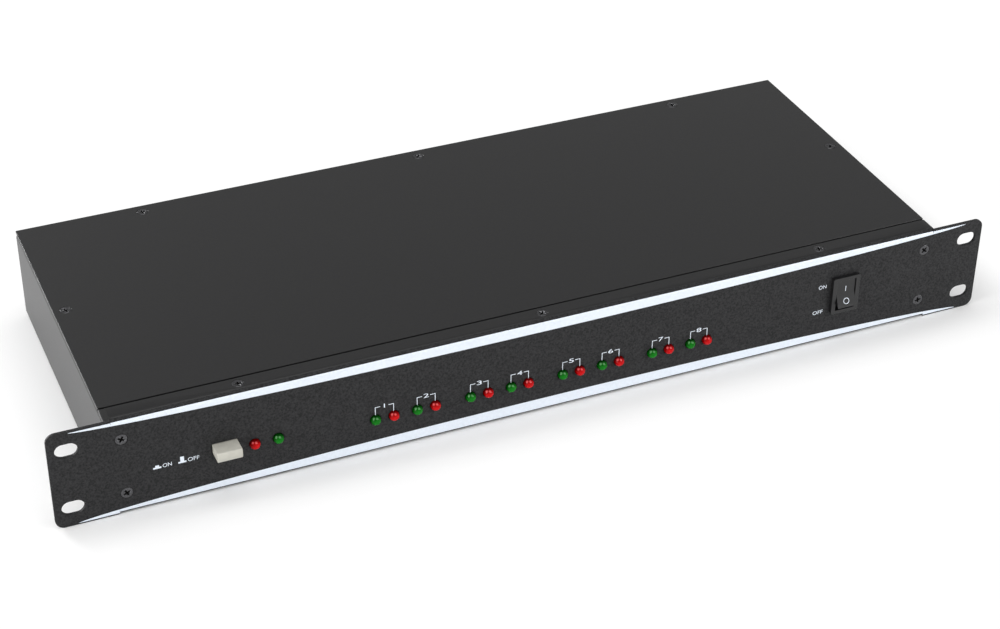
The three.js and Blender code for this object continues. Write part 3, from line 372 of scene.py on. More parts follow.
def circle(x, y, radius, count=40):
    """Points at equal angles: the middle plus radius times (cosine, sine)."""
    turn = turns(count)
    return np.stack([x + radius * np.cos(turn), y + radius * np.sin(turn)], 1)


def arc(x, y, radius, start, end, steps):
    """Points on part of a circle, angles in degrees."""
    turn = np.radians(np.linspace(start, end, steps + 1))
    return np.stack([x + radius * np.cos(turn), y + radius * np.sin(turn)], 1)


def rounded(x, y, width, height, radius, steps=6):
    """A rectangle whose corners are quarter circles."""
    a, b = width / 2 - radius, height / 2 - radius
    corners = [(a, b, 0), (-a, b, 90), (-a, -b, 180), (a, -b, 270)]
    return np.vstack([
        arc(x + cx, y + cy, radius, start, start + 90, steps) for cx, cy, start in corners
    ])


def slot(x, y, width, height, steps=16):
    """A slot with full round ends: a half circle at each end."""
    a = (width - height) / 2
    ends = [arc(x + a, y, height / 2, -90, 90, steps), arc(x - a, y, height / 2, 90, 270, steps)]
    return np.vstack(ends)


def inset(loop, distance):
    """Moves each point along the mitre of its two edges: the sum of their inward normals
    over one plus their dot product, so that every edge moves by the same distance."""
    ahead = np.roll(loop, -1, 0) - loop
    ahead /= np.linalg.norm(ahead, axis=1, keepdims=True)
    behind = np.roll(ahead, 1, 0)
    left_ahead = np.stack([-ahead[:, 1], ahead[:, 0]], 1)
    left_behind = np.stack([-behind[:, 1], behind[:, 0]], 1)
    mitre = (left_ahead + left_behind) / (1 + (left_ahead * left_behind).sum(1, keepdims=True))
    return loop + mitre * np.broadcast_to(np.reshape(distance, (-1, 1)), (len(loop), 1))


def carry(loop, profile, weights=1.0):
    """Carries a profile of (inset, height) pairs along a loop: one row of points for each pair."""
    return np.stack([
        np.column_stack([inset(loop, amount * np.asarray(weights)), np.full(len(loop), height)])
        for amount, height in profile
    ])


# Shapes: a list of (points, faces, material number)

def grid(points, closed, paint=0):
    """Quads between neighbouring rows and columns of a grid of points."""
    rows, columns = points.shape[:2]
    index = np.arange(rows * columns).reshape(rows, columns)
    ahead = np.roll(index, -1, 1)
    if not closed:
        index, ahead = index[:, :-1], ahead[:, :-1]
    faces = np.stack([index[:-1], ahead[:-1], ahead[1:], index[1:]], -1).reshape(-1, 4)
    return [(points.reshape(-1, 3), faces, paint)]


def face(loops, paint=0):
    """A flat face between an outline and the holes in it, cut into triangles."""
    triangles = np.array(tessellate_polygon([loop.tolist() for loop in loops]))
    return [(np.vstack(loops), triangles, paint)]


def plate(outline, holes=(), paint=0):
    """A solid between the first and last rows of an outline. Each hole is a grid of rows from the
    first face down: one that ends at the last face goes through, and any other has a floor."""
    low = outline[-1][0, 2]
    through = [hole for hole in holes if abs(hole[-1][0, 2] - low) < SAME]
    blind = [hole for hole in holes if abs(hole[-1][0, 2] - low) >= SAME]
    shape = grid(outline, True, paint)
    shape += face([outline[0], *(hole[0] for hole in holes)], paint)
    shape += face([outline[-1], *(hole[-1] for hole in through)], paint)
    for hole in holes:
        shape += grid(hole, True, paint)
    for hole in blind:
        shape += face([hole[-1]], paint)
    return shape


def turns(count):
    """Equal angles all the way round."""
    return np.linspace(0, 2 * np.pi, count, endpoint=False)


def rings(profile, turn):
    """A row of points round the outward axis for each (radius, height) pair of a profile."""
    radius, height = np.array(profile, float).T[:, :, None]
    return np.stack(
        [radius * np.cos(turn), radius * np.sin(turn), np.repeat(height, len(turn), 1)], -1
    )


def turned(profile, count=40, paint=0):
    """A profile of (radius, height) pairs turned about the outward axis."""
    return grid(rings(profile, turns(count)), True, paint)


def block(x0, y0, z0, x1, y1, z1, chamfer, paint=0):
    """A block with chamfered edges at its outer face."""
    loop = np.array([[x0, y0], [x1, y0], [x1, y1], [x0, y1]])
    return plate(carry(loop, [(chamfer, z1), (0, z1 - chamfer), (0, z0)]), paint=paint)


def film(loop, thickness, holes=()):
    """A thin plate with straight walls, from its outline and the outlines of its holes."""
    walls = [(0, thickness), (0, 0)]
    return plate(carry(loop, walls), [carry(hole, walls) for hole in holes])


def countersunk(x, y, top, sheet, screw):
    """A hole through a sheet for a countersunk screw, from the sheet's face down, with the same
    gap all round."""
    taper, gap = screw.head - screw.shank, screw.gap
    profile = [
        (0, top), (0, top - gap / 2), (taper, top - screw.head_depth - gap), (taper, top - sheet),
    ]
    return carry(circle(x, y, screw.head + gap), profile)


def moved(shape, facing, place):
    """Turns a shape the way it faces and moves its origin to a place."""
    return [(points @ facing + np.array(place), faces, paint) for points, faces, paint in shape]


def spin(turn):
    """A turn about the outward axis, for moved."""
    c, n = math.cos(turn), math.sin(turn)
    return np.array([[c, n, 0], [-n, c, 0], [0, 0, 1]])


def repaint(shape, shift):
    """Moves a shape's material numbers on, to where its own materials stand in a piece's list."""
    return [(points, faces, paint + shift) for points, faces, paint in shape]


# Pieces

def mesh_from(name, shape):
    """One mesh from a shape: doubles merged, then faces turned outwards."""
    shifts = np.cumsum([0] + [len(points) for points, _, _ in shape])
    points = np.vstack([points for points, _, _ in shape])
    faces = [
        row for (_, part, _), shift in zip(shape, shifts) for row in (part + shift).tolist()
    ]
    paints = np.concatenate([np.full(len(part), paint) for _, part, paint in shape])
    mesh = bpy.data.meshes.new(name)
    mesh.from_pydata(points.tolist(), [], faces)
    mesh.polygons.foreach_set("material_index", paints.astype(np.int32))
    work = bmesh.new()
    work.from_mesh(mesh)
    bmesh.ops.remove_doubles(work, verts=work.verts, dist=MERGE_NEW)
    bmesh.ops.recalc_face_normals(work, faces=work.faces)
    work.to_mesh(mesh)
    work.free()
    return mesh


def copy_of(node):
    """A node's own mesh with its doubles merged and the edges inside its flat faces taken out."""
    mesh = frame["nodes"][node].data.copy()
    mesh.materials.clear()
    work = bmesh.new()
    work.from_mesh(mesh)
    bmesh.ops.remove_doubles(work, verts=work.verts, dist=MERGE_COPY)
    bmesh.ops.dissolve_limit(work, angle_limit=FLAT_ANGLE, verts=work.verts, edges=work.edges)
    bmesh.ops.recalc_face_normals(work, faces=work.faces)
    work.to_mesh(mesh)
    work.free()
    for name in [item.name for item in mesh.attributes if not item.is_required]:
        if not name.startswith("."):
            mesh.attributes.remove(mesh.attributes[name])
    return mesh


def add_piece(name, mesh, materials, node, covers=(), bevel=0.0, sharp=60):
    """Makes a piece of a mesh, rounds its edges, and lets it ride with a node's body."""
    piece = bpy.data.objects.new(name, mesh)
    bpy.context.scene.collection.objects.link(piece)
    for material in materials:
        mesh.materials.append(material)
    mesh.shade_smooth()
    mesh.set_sharp_from_angle(angle=math.radians(sharp))
    if bevel:
        rounding = piece.modifiers.new("edges", "BEVEL")
        rounding.width = bevel
        rounding.segments = 2
        rounding.limit_method = "ANGLE"
        rounding.angle_limit = ROUNDED_ANGLE
        rounding.use_clamp_overlap = True
    flatten = piece.modifiers.new("flat faces", "WEIGHTED_NORMAL")
    flatten.weight = 100
    flatten.keep_sharp = True
    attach(piece, BODY_OF[node])
    if covers:
        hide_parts(*covers)
    return piece


def corners(node):
    """A node's lowest and highest corner."""
    low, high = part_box(node)
    return np.array(low), np.array(high)


def middle(node):
    """The middle of a node's box."""
    low, high = corners(node)
    return (low + high) / 2


def panel_face():
    """The middle of the panel's face, and half the panel's width and height."""
    low, high = corners("front_panel")
    return np.array([0, low[1], (low[2] + high[2]) / 2]), high[0], (high[2] - low[2]) / 2


def nodes_with(text):
    """The nodes whose names have a text in them."""
    return sorted(node for node in frame["nodes"] if text in node)


def lettering(text, height, width, thickness):
    """A word set in the built-in face, made a mesh, and scaled to a height and a width."""
    curve = bpy.data.curves.new("lettering", "FONT")
    curve.body = text
    curve.extrude = thickness / 2
    item = bpy.data.objects.new("lettering", curve)
    bpy.context.scene.collection.objects.link(item)
    graph = bpy.context.evaluated_depsgraph_get()
    mesh = bpy.data.meshes.new_from_object(item.evaluated_get(graph))
    points = np.empty(len(mesh.vertices) * 3)
    mesh.vertices.foreach_get("co", points)
    points = points.reshape(-1, 3)
    low, high = points.min(0), points.max(0)
    scale = np.array([width / (high[0] - low[0]), height / (high[1] - low[1]), 1])
    points = (points - (low + high) / 2) * scale
    points[:, 2] += thickness / 2
    shape = []
    for size in (3, 4):
        part = np.array([tuple(p.vertices) for p in mesh.polygons if len(p.vertices) == size])
        if len(part):
            shape.append((points, part, 0))
    bpy.data.objects.remove(item)
    bpy.data.curves.remove(curve)
    bpy.data.meshes.remove(mesh)
    return shape


def stroke(path, width, thickness):
    """A line of even width along an open path, as a thin plate. Each point moves half the width
    to both sides, along the sum of its two edges' normals over one plus their dot product."""
    path = np.array(path, float)
    step = np.diff(path, axis=0)
    step /= np.linalg.norm(step, axis=1, keepdims=True)
    left = np.stack([-step[:, 1], step[:, 0]], 1)
    before, after = np.vstack([left[:1], left]), np.vstack([left, left[-1:]])
    side = (before + after) / (1 + (before * after).sum(1, keepdims=True)) * width / 2
    loop = np.vstack([path - side, (path + side)[::-1]])
    return film(loop, thickness)


def oval_ring(width, height, line, thickness):
    """An oval ring as a thin plate."""
    outer = circle(0, 0, 1) * np.array([width / 2, height / 2])
    return film(outer, thickness, [inset(outer, line)])


# Materials

def add_node(tree, kind, inputs=(), **settings):
    """Adds a node, sets its settings, and fills its inputs with values or with other sockets."""
    item = tree.nodes.new("ShaderNode" + kind)
    for key, value in settings.items():
        setattr(item, key, value)
    for key, value in dict(inputs).items():
        socket = item.inputs[key]
        if isinstance(value, bpy.types.NodeSocket):
            tree.links.new(value, socket)
        else:
            socket.default_value = value
    return item


def start_material(name):
    """A new material, its empty tree, and the object's own coordinates in it."""
    material = bpy.data.materials.new(name)
    material.use_nodes = True
    tree = material.node_tree
    tree.nodes.clear()
    return material, tree, add_node(tree, "TexCoord").outputs["Object"]


def finish_material(tree, inputs):
    """A Principled shader with its inputs, and the output after it."""
    shader = add_node(tree, "BsdfPrincipled", inputs)
    add_node(tree, "OutputMaterial", {"Surface": shader.outputs[0]})


def per_metre(millimetres):
    """The texture scale at which one feature of a pattern is so many millimetres wide."""
    return 1 / (millimetres * MM)


def shade(base, factor):
    """A colour made darker or lighter, and no brighter than white."""
    return tuple(min(1.0, value * factor) for value in base)


def vary(tree, factor, low, high, dark, light):
    """Colour that runs from dark to light while the factor runs from low to high."""
    share = add_node(tree, "MapRange", {0: factor, 1: low, 2: high}).outputs[0]
    mix = add_node(tree, "Mix", {0: share, 6: (*dark, 1), 7: (*light, 1)}, data_type="RGBA")
    return mix.outputs[2]


def textured_powder_coat(base):
    # Epoxy powder baked to a fine leathery grain: dull black, with pale specks painted into its
    # colour as highlights where the grain catches the light. The real grain is 0.3 mm and would not
    # show, so it is drawn at 0.9 mm.
    material, tree, place = start_material("textured_powder_coat")
    specks = add_node(tree, "TexNoise", {
        "Vector": place, "Scale": per_metre(0.9), "Detail": 3.0, "Roughness": 0.65,
    }).outputs[0]
    rough = add_node(tree, "MapRange", {0: specks, 1: 0.3, 2: 0.7, 3: 0.62, 4: 0.42})
    bump = add_node(tree, "Bump", {"Height": specks, "Strength": 0.35, "Distance": 0.12 * MM})
    finish_material(tree, {
        # The pale specks are painted highlights of the grain.
        "Base Color": vary(tree, specks, 0.36, 0.68, shade(base, 0.6), shade(base, 1.6)),
        "Roughness": rough.outputs[0],
        "Specular IOR Level": 0.15,
        "Normal": bump.outputs[0],
    })
    return material


def smooth_powder_coat(base):
    # Matt epoxy powder on folded sheet: an even dark grey with a faint orange peel. The peel is
    # about 1.5 mm across on the real one, and the fine grain in it is drawn at 0.8 mm.
    material, tree, place = start_material("smooth_powder_coat")
    fine = add_node(tree, "TexNoise", {
        "Vector": place, "Scale": per_metre(0.8), "Roughness": 0.6,
    }).outputs[0]
    peel = add_node(tree, "TexNoise", {"Vector": place, "Scale": per_metre(1.5), "Detail": 1.0})
    bump = add_node(tree, "Bump", {
        "Height": peel.outputs[0], "Strength": 0.12, "Distance": 0.1 * MM,
    })
    finish_material(tree, {
        "Base Color": vary(tree, fine, 0.35, 0.7, shade(base, 0.75), shade(base, 1.35)),
        "Roughness": 0.37,
        "Normal": bump.outputs[0],
    })
    return material


def black_oxide_steel(base):
    # Heat-treated screw steel blackened in a salt bath: a dark, slightly oily metal with
    # lighter wear. Turning marks are 0.15 mm apart, drawn at 0.4 mm.
    material, tree, place = start_material("black_oxide_steel")
    marks = add_node(tree, "TexNoise", {"Vector": place, "Scale": per_metre(0.4)}).outputs[0]
    bump = add_node(tree, "Bump", {"Height": marks, "Strength": 0.1, "Distance": 0.05 * MM})
    finish_material(tree, {
        "Base Color": vary(tree, marks, 0.3, 0.75, shade(base, 0.6), shade(base, 1.7)),
        "Roughness": 0.3,
        "Metallic": 1.0,
        "Normal": bump.outputs[0],
    })
    return material


def oiled_drive(base):
    # Painted shade in a screw's cross recess, where little light reaches: nearly black, dull, and
    # uneven from one 0.5 mm patch to the next.
    material, tree, place = start_material("oiled_drive")
    shade_patches = add_node(tree, "TexNoise", {"Vector": place, "Scale": per_metre(0.5)}).outputs[0]
    finish_material(tree, {
        # The painted shade of the recess, uneven from patch to patch.
        "Base Color": vary(tree, shade_patches, 0.3, 0.7, shade(base, 0.5), shade(base, 2.0)),
        "Roughness": 0.7,
        "Specular IOR Level": 0.2,
    })
    return material


def tinted_epoxy(name, base):
    # Tinted epoxy of an indicator lamp: deep colour under a polished skin. Painted shade darkens
    # the top of the dome and painted light brightens it low down, where light from above would
    # gather in it. Two painted glints sit on the crown, one at each side. How far the surface
    # faces the light or a glint is the dot product of its normal and that direction. The cloud
    # in the resin is about 1.2 mm across.
    material, tree, place = start_material(name)
    normal = add_node(tree, "TexCoord").outputs["Normal"]
    # How far the surface faces the painted light, and the ways of the two painted glints.
    light, *painted_glint_ways = [
        add_node(tree, "VectorMath", {0: normal, 1: way}, operation="DOT_PRODUCT").outputs[1]
        for way in ((0.2, -0.75, -0.62), (-0.57, -0.40, 0.72), (0.04, -0.68, 0.73))
    ]
    # Painted shade at the top of the dome, painted light low in it.
    body = vary(tree, light, -0.5, 0.7, shade(base, 0.3), shade(base, 1.4))
    cloud = add_node(tree, "TexNoise", {"Vector": place, "Scale": per_metre(1.2)}).outputs[0]
    tint = vary(tree, cloud, 0.4, 0.6, (0.85,) * 3, (1.0,) * 3)
    paint = add_node(
        tree, "Mix", {0: 1.0, 6: body, 7: tint}, data_type="RGBA", blend_type="MULTIPLY"
    ).outputs[2]
    # The colour of the painted glints.
    painted_glint = (*(1.6 * part + 0.1 for part in base), 1)
    # Mixes the two painted glints into the colour.
    for post in painted_glint_ways:
        share = add_node(tree, "MapRange", {0: post, 1: 0.955, 2: 0.995}).outputs[0]
        mix = add_node(tree, "Mix", {0: share, 6: paint, 7: painted_glint}, data_type="RGBA")
        paint = mix.outputs[2]
    finish_material(tree, {
        "Base Color": paint,
        "Roughness": 0.06,
        "IOR": 1.54,
        "Specular IOR Level": 0.1,
    })
    return material


def cream_abs(base):
    # Injection moulded ABS, slightly yellowed, with a satin skin. Spark texture about 0.2 mm,
    # drawn at 0.6 mm, over a tone that drifts from one 4 mm patch to the next.
    material, tree, place = start_material("cream_abs")
    skin = add_node(tree, "TexNoise", {"Vector": place, "Scale": per_metre(0.6)}).outputs[0]
    tone = add_node(tree, "TexNoise", {
        "Vector": place, "Scale": per_metre(4.0), "Detail": 1.0,
    }).outputs[0]
    bump = add_node(tree, "Bump", {"Height": skin, "Strength": 0.08, "Distance": 0.04 * MM})
    finish_material(tree, {
        "Base Color": vary(tree, tone, 0.3, 0.7, shade(base, 0.93), shade(base, 1.04)),
        "Roughness": 0.42,
        "Normal": bump.outputs[0],
    })
    return material


def moulded_black(name, base, roughness):
    # Black moulded nylon: satin skin from a spark-eroded tool, with a slightly uneven sheen.
    # The spark texture is about 0.15 mm, drawn at 0.5 mm, and the sheen changes over 5 mm.
    material, tree, place = start_material(name)
    skin = add_node(tree, "TexNoise", {"Vector": place, "Scale": per_metre(0.5)}).outputs[0]
    sheen = add_node(tree, "TexNoise", {
        "Vector": place, "Scale": per_metre(5.0), "Detail": 1.0,
    }).outputs[0]
    low, high = roughness - 0.06, roughness + 0.08
    rough = add_node(tree, "MapRange", {0: sheen, 1: 0.3, 2: 0.7, 3: low, 4: high})
    bump = add_node(tree, "Bump", {"Height": skin, "Strength": 0.1, "Distance": 0.05 * MM})
    finish_material(tree, {
        "Base Color": vary(tree, skin, 0.3, 0.7, shade(base, 0.8), shade(base, 1.3)),
        "Roughness": rough.outputs[0],
        "Normal": bump.outputs[0],
    })
    return material


def plated_metal(name, base, roughness):
    # Plated or stamped metal: bright, with fine drawing lines along the part about 0.1 mm
    # apart, drawn at 0.3 mm and stretched along the part's own depth.
    material, tree, place = start_material(name)
    stretch = add_node(tree, "Mapping", {"Vector": place, "Scale": (1, 0.15, 1)}).outputs[0]
    lines = add_node(tree, "TexNoise", {"Vector": stretch, "Scale": per_metre(0.3)}).outputs[0]
    bump = add_node(tree, "Bump", {"Height": lines, "Strength": 0.08, "Distance": 0.04 * MM})
    finish_material(tree, {
        "Base Color": vary(tree, lines, 0.25, 0.75, shade(base, 0.82), shade(base, 1.1)),
        "Roughness": roughness,
        "Metallic": 1.0,
        "Normal": bump.outputs[0],
    })
    return material


def solder_resist(base, track):
    # Green solder resist over copper: glossy, with lighter lines where tracks run under it.
    # The tracks are 1 mm wide, half a millimetre on each side of blocks of 8 by 4 mm.
    material, tree, place = start_material("solder_resist")
    tracks = add_node(tree, "TexBrick", {
        "Vector": place, "Scale": 1.0, "Color1": (*base, 1), "Color2": (*shade(base, 0.85), 1),
        "Mortar": (*track, 1), "Mortar Size": 0.5 * MM, "Brick Width": 8 * MM,
        "Row Height": 4 * MM,
    })
    bump = add_node(tree, "Bump", {
        "Height": tracks.outputs["Fac"], "Strength": 0.2, "Distance": 0.05 * MM,
    })
    finish_material(tree, {
        "Base Color": tracks.outputs["Color"],
        "Roughness": 0.3,
        "Normal": bump.outputs[0],
    })
    return material


def laminated_steel(base):
    # A stack of 0.5 mm transformer laminations under varnish: dull grey with fine dark lines
    # from plate to plate.
    material, tree, place = start_material("laminated_steel")
    lines = add_node(
        tree, "TexWave", {"Vector": place, "Scale": per_metre(0.5) / 20}, bands_direction="Y"
    ).outputs[1]
    bump = add_node(tree, "Bump", {"Height": lines, "Strength": 0.3, "Distance": 0.05 * MM})
    finish_material(tree, {
        "Base Color": vary(tree, lines, 0.2, 0.8, shade(base, 0.5), shade(base, 1.2)),
        "Roughness": 0.5,
        "Metallic": 0.85,
        "Normal": bump.outputs[0],
    })
    return material


def screen_print(base):
    # Two-part white ink through a 0.1 mm mesh: an opaque satin film, very slightly uneven.
    # The weave would not show, so the unevenness is drawn at 1.5 mm.
    material, tree, place = start_material("screen_print")
    uneven = add_node(tree, "TexNoise", {"Vector": place, "Scale": per_metre(1.5)}).outputs[0]
    finish_material(tree, {
        "Base Color": vary(tree, uneven, 0.3, 0.7, shade(base, 0.96), shade(base, 1.02)),
        "Roughness": 0.45,
    })
    return material


def studio_paper(base, half_size, near, far):
    # White seamless paper, which takes the object's shadow. Away from the object's footprint it
    # turns into an evenly lit backdrop for the rays that the camera, metal and glass see it by.
    # The distance from the footprint is the length of max(|place| - half size, 0). The fibres
    # of the paper are 3 mm long.
    material, tree, place = start_material("studio_paper")
    rays = add_node(tree, "LightPath").outputs
    seen = rays["Is Camera Ray"]
    for kind in ("Is Glossy Ray", "Is Transmission Ray"):
        seen = add_node(tree, "Math", {0: seen, 1: rays[kind]}, operation="MAXIMUM").outputs[0]
    away = add_node(tree, "VectorMath", {0: place}, operation="ABSOLUTE").outputs[0]
    for step, other in (("SUBTRACT", half_size), ("MAXIMUM", (0, 0, 0))):
        away = add_node(tree, "VectorMath", {0: away, 1: other}, operation=step).outputs[0]
    away = add_node(tree, "VectorMath", {0: away}, operation="LENGTH").outputs[1]
    share = add_node(
        tree, "MapRange", {0: away, 1: near, 2: far}, interpolation_type="SMOOTHSTEP"
    ).outputs[0]
    glow = add_node(tree, "Math", {0: seen, 1: share}, operation="MULTIPLY").outputs[0]
    tone = add_node(tree, "Mix", {0: glow, 6: (*base, 1), 7: (0, 0, 0, 1)}, data_type="RGBA")
    fibre = add_node(tree, "TexNoise", {"Vector": place, "Scale": per_metre(3.0)}).outputs[0]
    bump = add_node(tree, "Bump", {"Height": fibre, "Strength": 0.02, "Distance": 0.1 * MM})
    finish_material(tree, {
        "Base Color": tone.outputs[2],
        "Roughness": 0.9,
        "Emission Color": (1, 1, 1, 1),
        "Emission Strength": glow,
        "Normal": bump.outputs[0],
    })
    return material


# Operators

class SPLITTER_OT_panel(bpy.types.Operator):
    """Front panel: a plate with its openings, and the two long edges bent back between the ears"""
    bl_idname = "splitter.panel"
    bl_label = "Front Panel"

    def execute(self, context):
        s = context.scene.splitter_panel
        origin, half, top = panel_face()
        ear = half - s.ear
        bend_end = ear - s.relief
        hold = top - s.bend - s.relief_depth
        holes = self.openings(s, context.scene.splitter_screws, half, origin)
        shape = plate(self.outline(s, half, top, ear, bend_end, hold), holes)
        shape = self.without_bend_walls(shape, bend_end, hold)
        for side in (1, -1):
            shape += self.bent_edge(s, bend_end, top, hold, side)
        material = textured_powder_coat(s.paint)
        mesh = mesh_from("panel_face", moved(shape, FACING_FRONT, origin))
        add_piece("panel_face", mesh, [material], "front_panel", ["front_panel"])
        return {"FINISHED"}

    def outline(self, s, half, top, ear, bend_end, hold):
        """Ear corners as arcs, joined by the steps down into the relief slits. Only the ears'
        own points take the broken edge, so it fades out in the slits."""
        r, c = s.corner, s.chamfer
        right = np.vstack([
            [[ear, -top]],
            arc(half - r, -top + r, r, -90, 0, EAR_STEPS),
            arc(half - r, top - r, r, 0, 90, EAR_STEPS),
            [[ear, top]],
        ])
        upper = np.array([[ear, hold], [bend_end, hold], [-bend_end, hold], [-ear, hold]])
        loop = np.vstack([right, upper, -right, -upper])
        in_slit = np.abs(np.abs(loop[:, 1]) - hold) < SAME
        rows = [(c, 0), (0, -c), (0, c - s.sheet), (c, -s.sheet)]
        return carry(loop, rows, np.where(in_slit, 0.0, 1.0))

    def openings(self, s, screw, half, origin):
        """Countersunk holes for the screws, and straight ones for all the rest: lamps, slots,
        button and switch."""
        straight = [(-s.chamfer, 0), (0, -s.chamfer), (0, -s.sheet)]
        holes = []
        for node in frame["nodes"]:
            x, _, z = middle(node) - origin
            if node.endswith("_lamp"):
                holes.append(carry(circle(x, z, s.lamp_hole), straight))
            if node.startswith("panel_screw"):
                holes.append(countersunk(x, z, 0, s.sheet, screw))
        loops = [
            slot(sx * (half - s.slot_inset), sz * s.slot_rise, s.slot_length, s.slot_height)
            for sx in (-1, 1) for sz in (-1, 1)
        ]
        low, high = corners("terminate_button")
        width, _, height = high - low + 2 * s.button_gap
        x, _, z = middle("terminate_button") - origin
        loops.append(rounded(x, z, width, height, s.button_gap))
        x, _, z = middle("power_switch_housing") - origin
        loops.append(rounded(x, z, s.switch_width, s.switch_height, s.button_gap))
        return holes + [carry(loop, straight) for loop in loops]

    def without_bend_walls(self, shape, bend_end, hold):
        """Takes out the two walls of the plate that the bent edges carry on from."""
        points, faces, paint = shape[0]
        corner = points[faces]
        on_bend = (np.abs(np.abs(corner[:, :, 1]) - hold) < SAME).all(1)
        across = np.abs(corner[:, :, 0].max(1) - corner[:, :, 0].min(1)) > bend_end
        return [(points, faces[~(on_bend & across)], paint), *shape[1:]]

    def bent_edge(self, s, bend_end, top, hold, side):
        """The bend's section carried along the panel: outer quarter circle out, lip, inner quarter
        circle back. Points are (height, depth), and the ends are closed by the section itself."""
        outer = arc(top - s.bend, -s.bend, s.bend, 90, 0, BEND_STEPS[0])
        inner = arc(top - s.bend, -s.bend, s.bend - s.sheet, 0, 90, BEND_STEPS[1])
        back = -s.bend - s.lip
        section = np.vstack([
            [[hold, 0]], outer, [[top, back], [top - s.sheet, back]], inner, [[hold, -s.sheet]],
        ])
        rows = np.stack([
            np.column_stack([np.full(len(section), x), side * section[:, 0], section[:, 1]])
            for x in (-bend_end, bend_end)
        ])
        return grid(rows, False) + face([rows[0]]) + face([rows[1]])


class SPLITTER_OT_print(bpy.types.Operator):
    """Screen print: the two long stripes, the channel marks, and the ON and OFF marks"""
    bl_idname = "splitter.print"
    bl_label = "Printing"

    def execute(self, context):
        s = context.scene.splitter_print
        panel = context.scene.splitter_panel
        origin, half, top = panel_face()
        ink = screen_print(s.ink_colour)
        ear, middle_end = half - panel.ear, half - panel.ear - panel.relief
        for name, side in (("upper_stripe", 1), ("lower_stripe", -1)):
            shape = self.stripe(s, panel, top, -s.stripe_half, -ear, side, False)
            shape += self.stripe(s, panel, top, -middle_end, middle_end, side, True)
            shape += self.stripe(s, panel, top, ear, s.stripe_half, side, False)
            self.add_print(name, shape, origin, ink)
        for node in nodes_with("_green_lamp"):
            channel = int(node.split("_")[1])
            mark = self.bracket(s, channel, origin)
            self.add_print(f"channel_{channel}_mark", mark, origin, ink)
        self.words(s, origin, ink)
        return {"FINISHED"}

    def add_print(self, name, shape, origin, ink):
        """Adds a printed piece, drawn on the panel's face from its middle."""
        mesh = mesh_from(name, moved(shape, FACING_FRONT, origin))
        add_piece(name, mesh, [ink], "front_panel")

    def stripe(self, s, panel, top, start, end, side, on_bend):
        """Between the inner edge, which is the outer edge less the depth times (1 - x squared)
        to a power, and the straight outer edge. Past the bend line the height becomes an angle
        round the bend. The film's outer face lies one ink thickness out along the same normals."""
        along, across = STRIPE_POINTS
        x = np.linspace(start, end, along)
        fall = np.clip(1 - (x / s.stripe_half) ** 2, 0, None) ** s.stripe_power
        inner = s.stripe_outer - (s.upper_depth if side > 0 else s.lower_depth) * fall
        outer = s.stripe_outer - (s.lower_trim if side < 0 and on_bend else 0)
        run = inner + (outer - inner) * np.linspace(0, 1, across)[:, None]
        bend_line = top - panel.bend if on_bend else np.inf
        turn = np.clip((run - bend_line) / panel.bend, 0, None)
        flat = np.minimum(run, bend_line)
        faces = []
        for film_height in (s.ink, 0.0):
            up = side * (flat + (panel.bend + film_height) * np.sin(turn))
            out = film_height * np.cos(turn) - panel.bend * (1 - np.cos(turn))
            faces.append(np.stack([np.broadcast_to(x, run.shape), up, out], -1))
        front, back = faces
        rim = np.stack([
            np.concatenate([g[0], g[1:, -1], g[-1, -2::-1], g[-2:0:-1, 0]]) for g in faces
        ])
        return grid(front, False) + grid(back, False) + grid(rim, True)

    def bracket(self, s, channel, origin):
        """A line from each of a channel's two lamps up and in towards its number."""
        green = middle(f"channel_{channel}_green_lamp") - origin
        red = middle(f"channel_{channel}_red_lamp") - origin
        line, foot = green[2] + s.bracket_rise, green[2] + s.bracket_foot
        shape = []
        for x, side in ((green[0], 1), (red[0], -1)):
            path = [(x, foot), (x, line), (x + side * s.bracket_arm, line)]
            shape += stroke(path, s.line, s.ink)
        width = s.one_width if channel == 1 else s.digit_width
        digit = lettering(str(channel), s.digit_height, width, s.ink)
        return shape + moved(digit, FACING_UP, ((green[0] + red[0]) / 2, line, 0))

    def words(self, s, origin, ink):
        """ON and OFF at the switch and at the button, those at the button with a sign."""
        for part, text, across, up, width in WORDS:
            x, _, z = middle(WORD_NODES[part]) - origin + np.array([across, 0, up]) * MM
            word = lettering(text, s.word_height, width * MM, s.ink)
            shape = moved(word, FACING_UP, (x, z, 0))
            if part == "button":
                sign = self.button_sign(s, s.pressed_post if text == "ON" else s.raised_post)
                sign_x = x - width * MM / 2 - s.sign_gap
                shape += moved(sign, FACING_UP, (sign_x, z - s.sign_drop, 0))
            self.add_print(f"{part}_{text.lower()}_word", shape, origin, ink)

    def button_sign(self, s, post):
        """A button seen from the side: a wide low base with a post, short when it is pressed."""
        wide, narrow, base = s.sign_half, s.post_half, s.sign_base
        loop = np.array([
            [-wide, 0], [wide, 0], [wide, base], [narrow, base],
            [narrow, base + post], [-narrow, base + post], [-narrow, base], [-wide, base],
        ])
        return film(loop, s.ink)


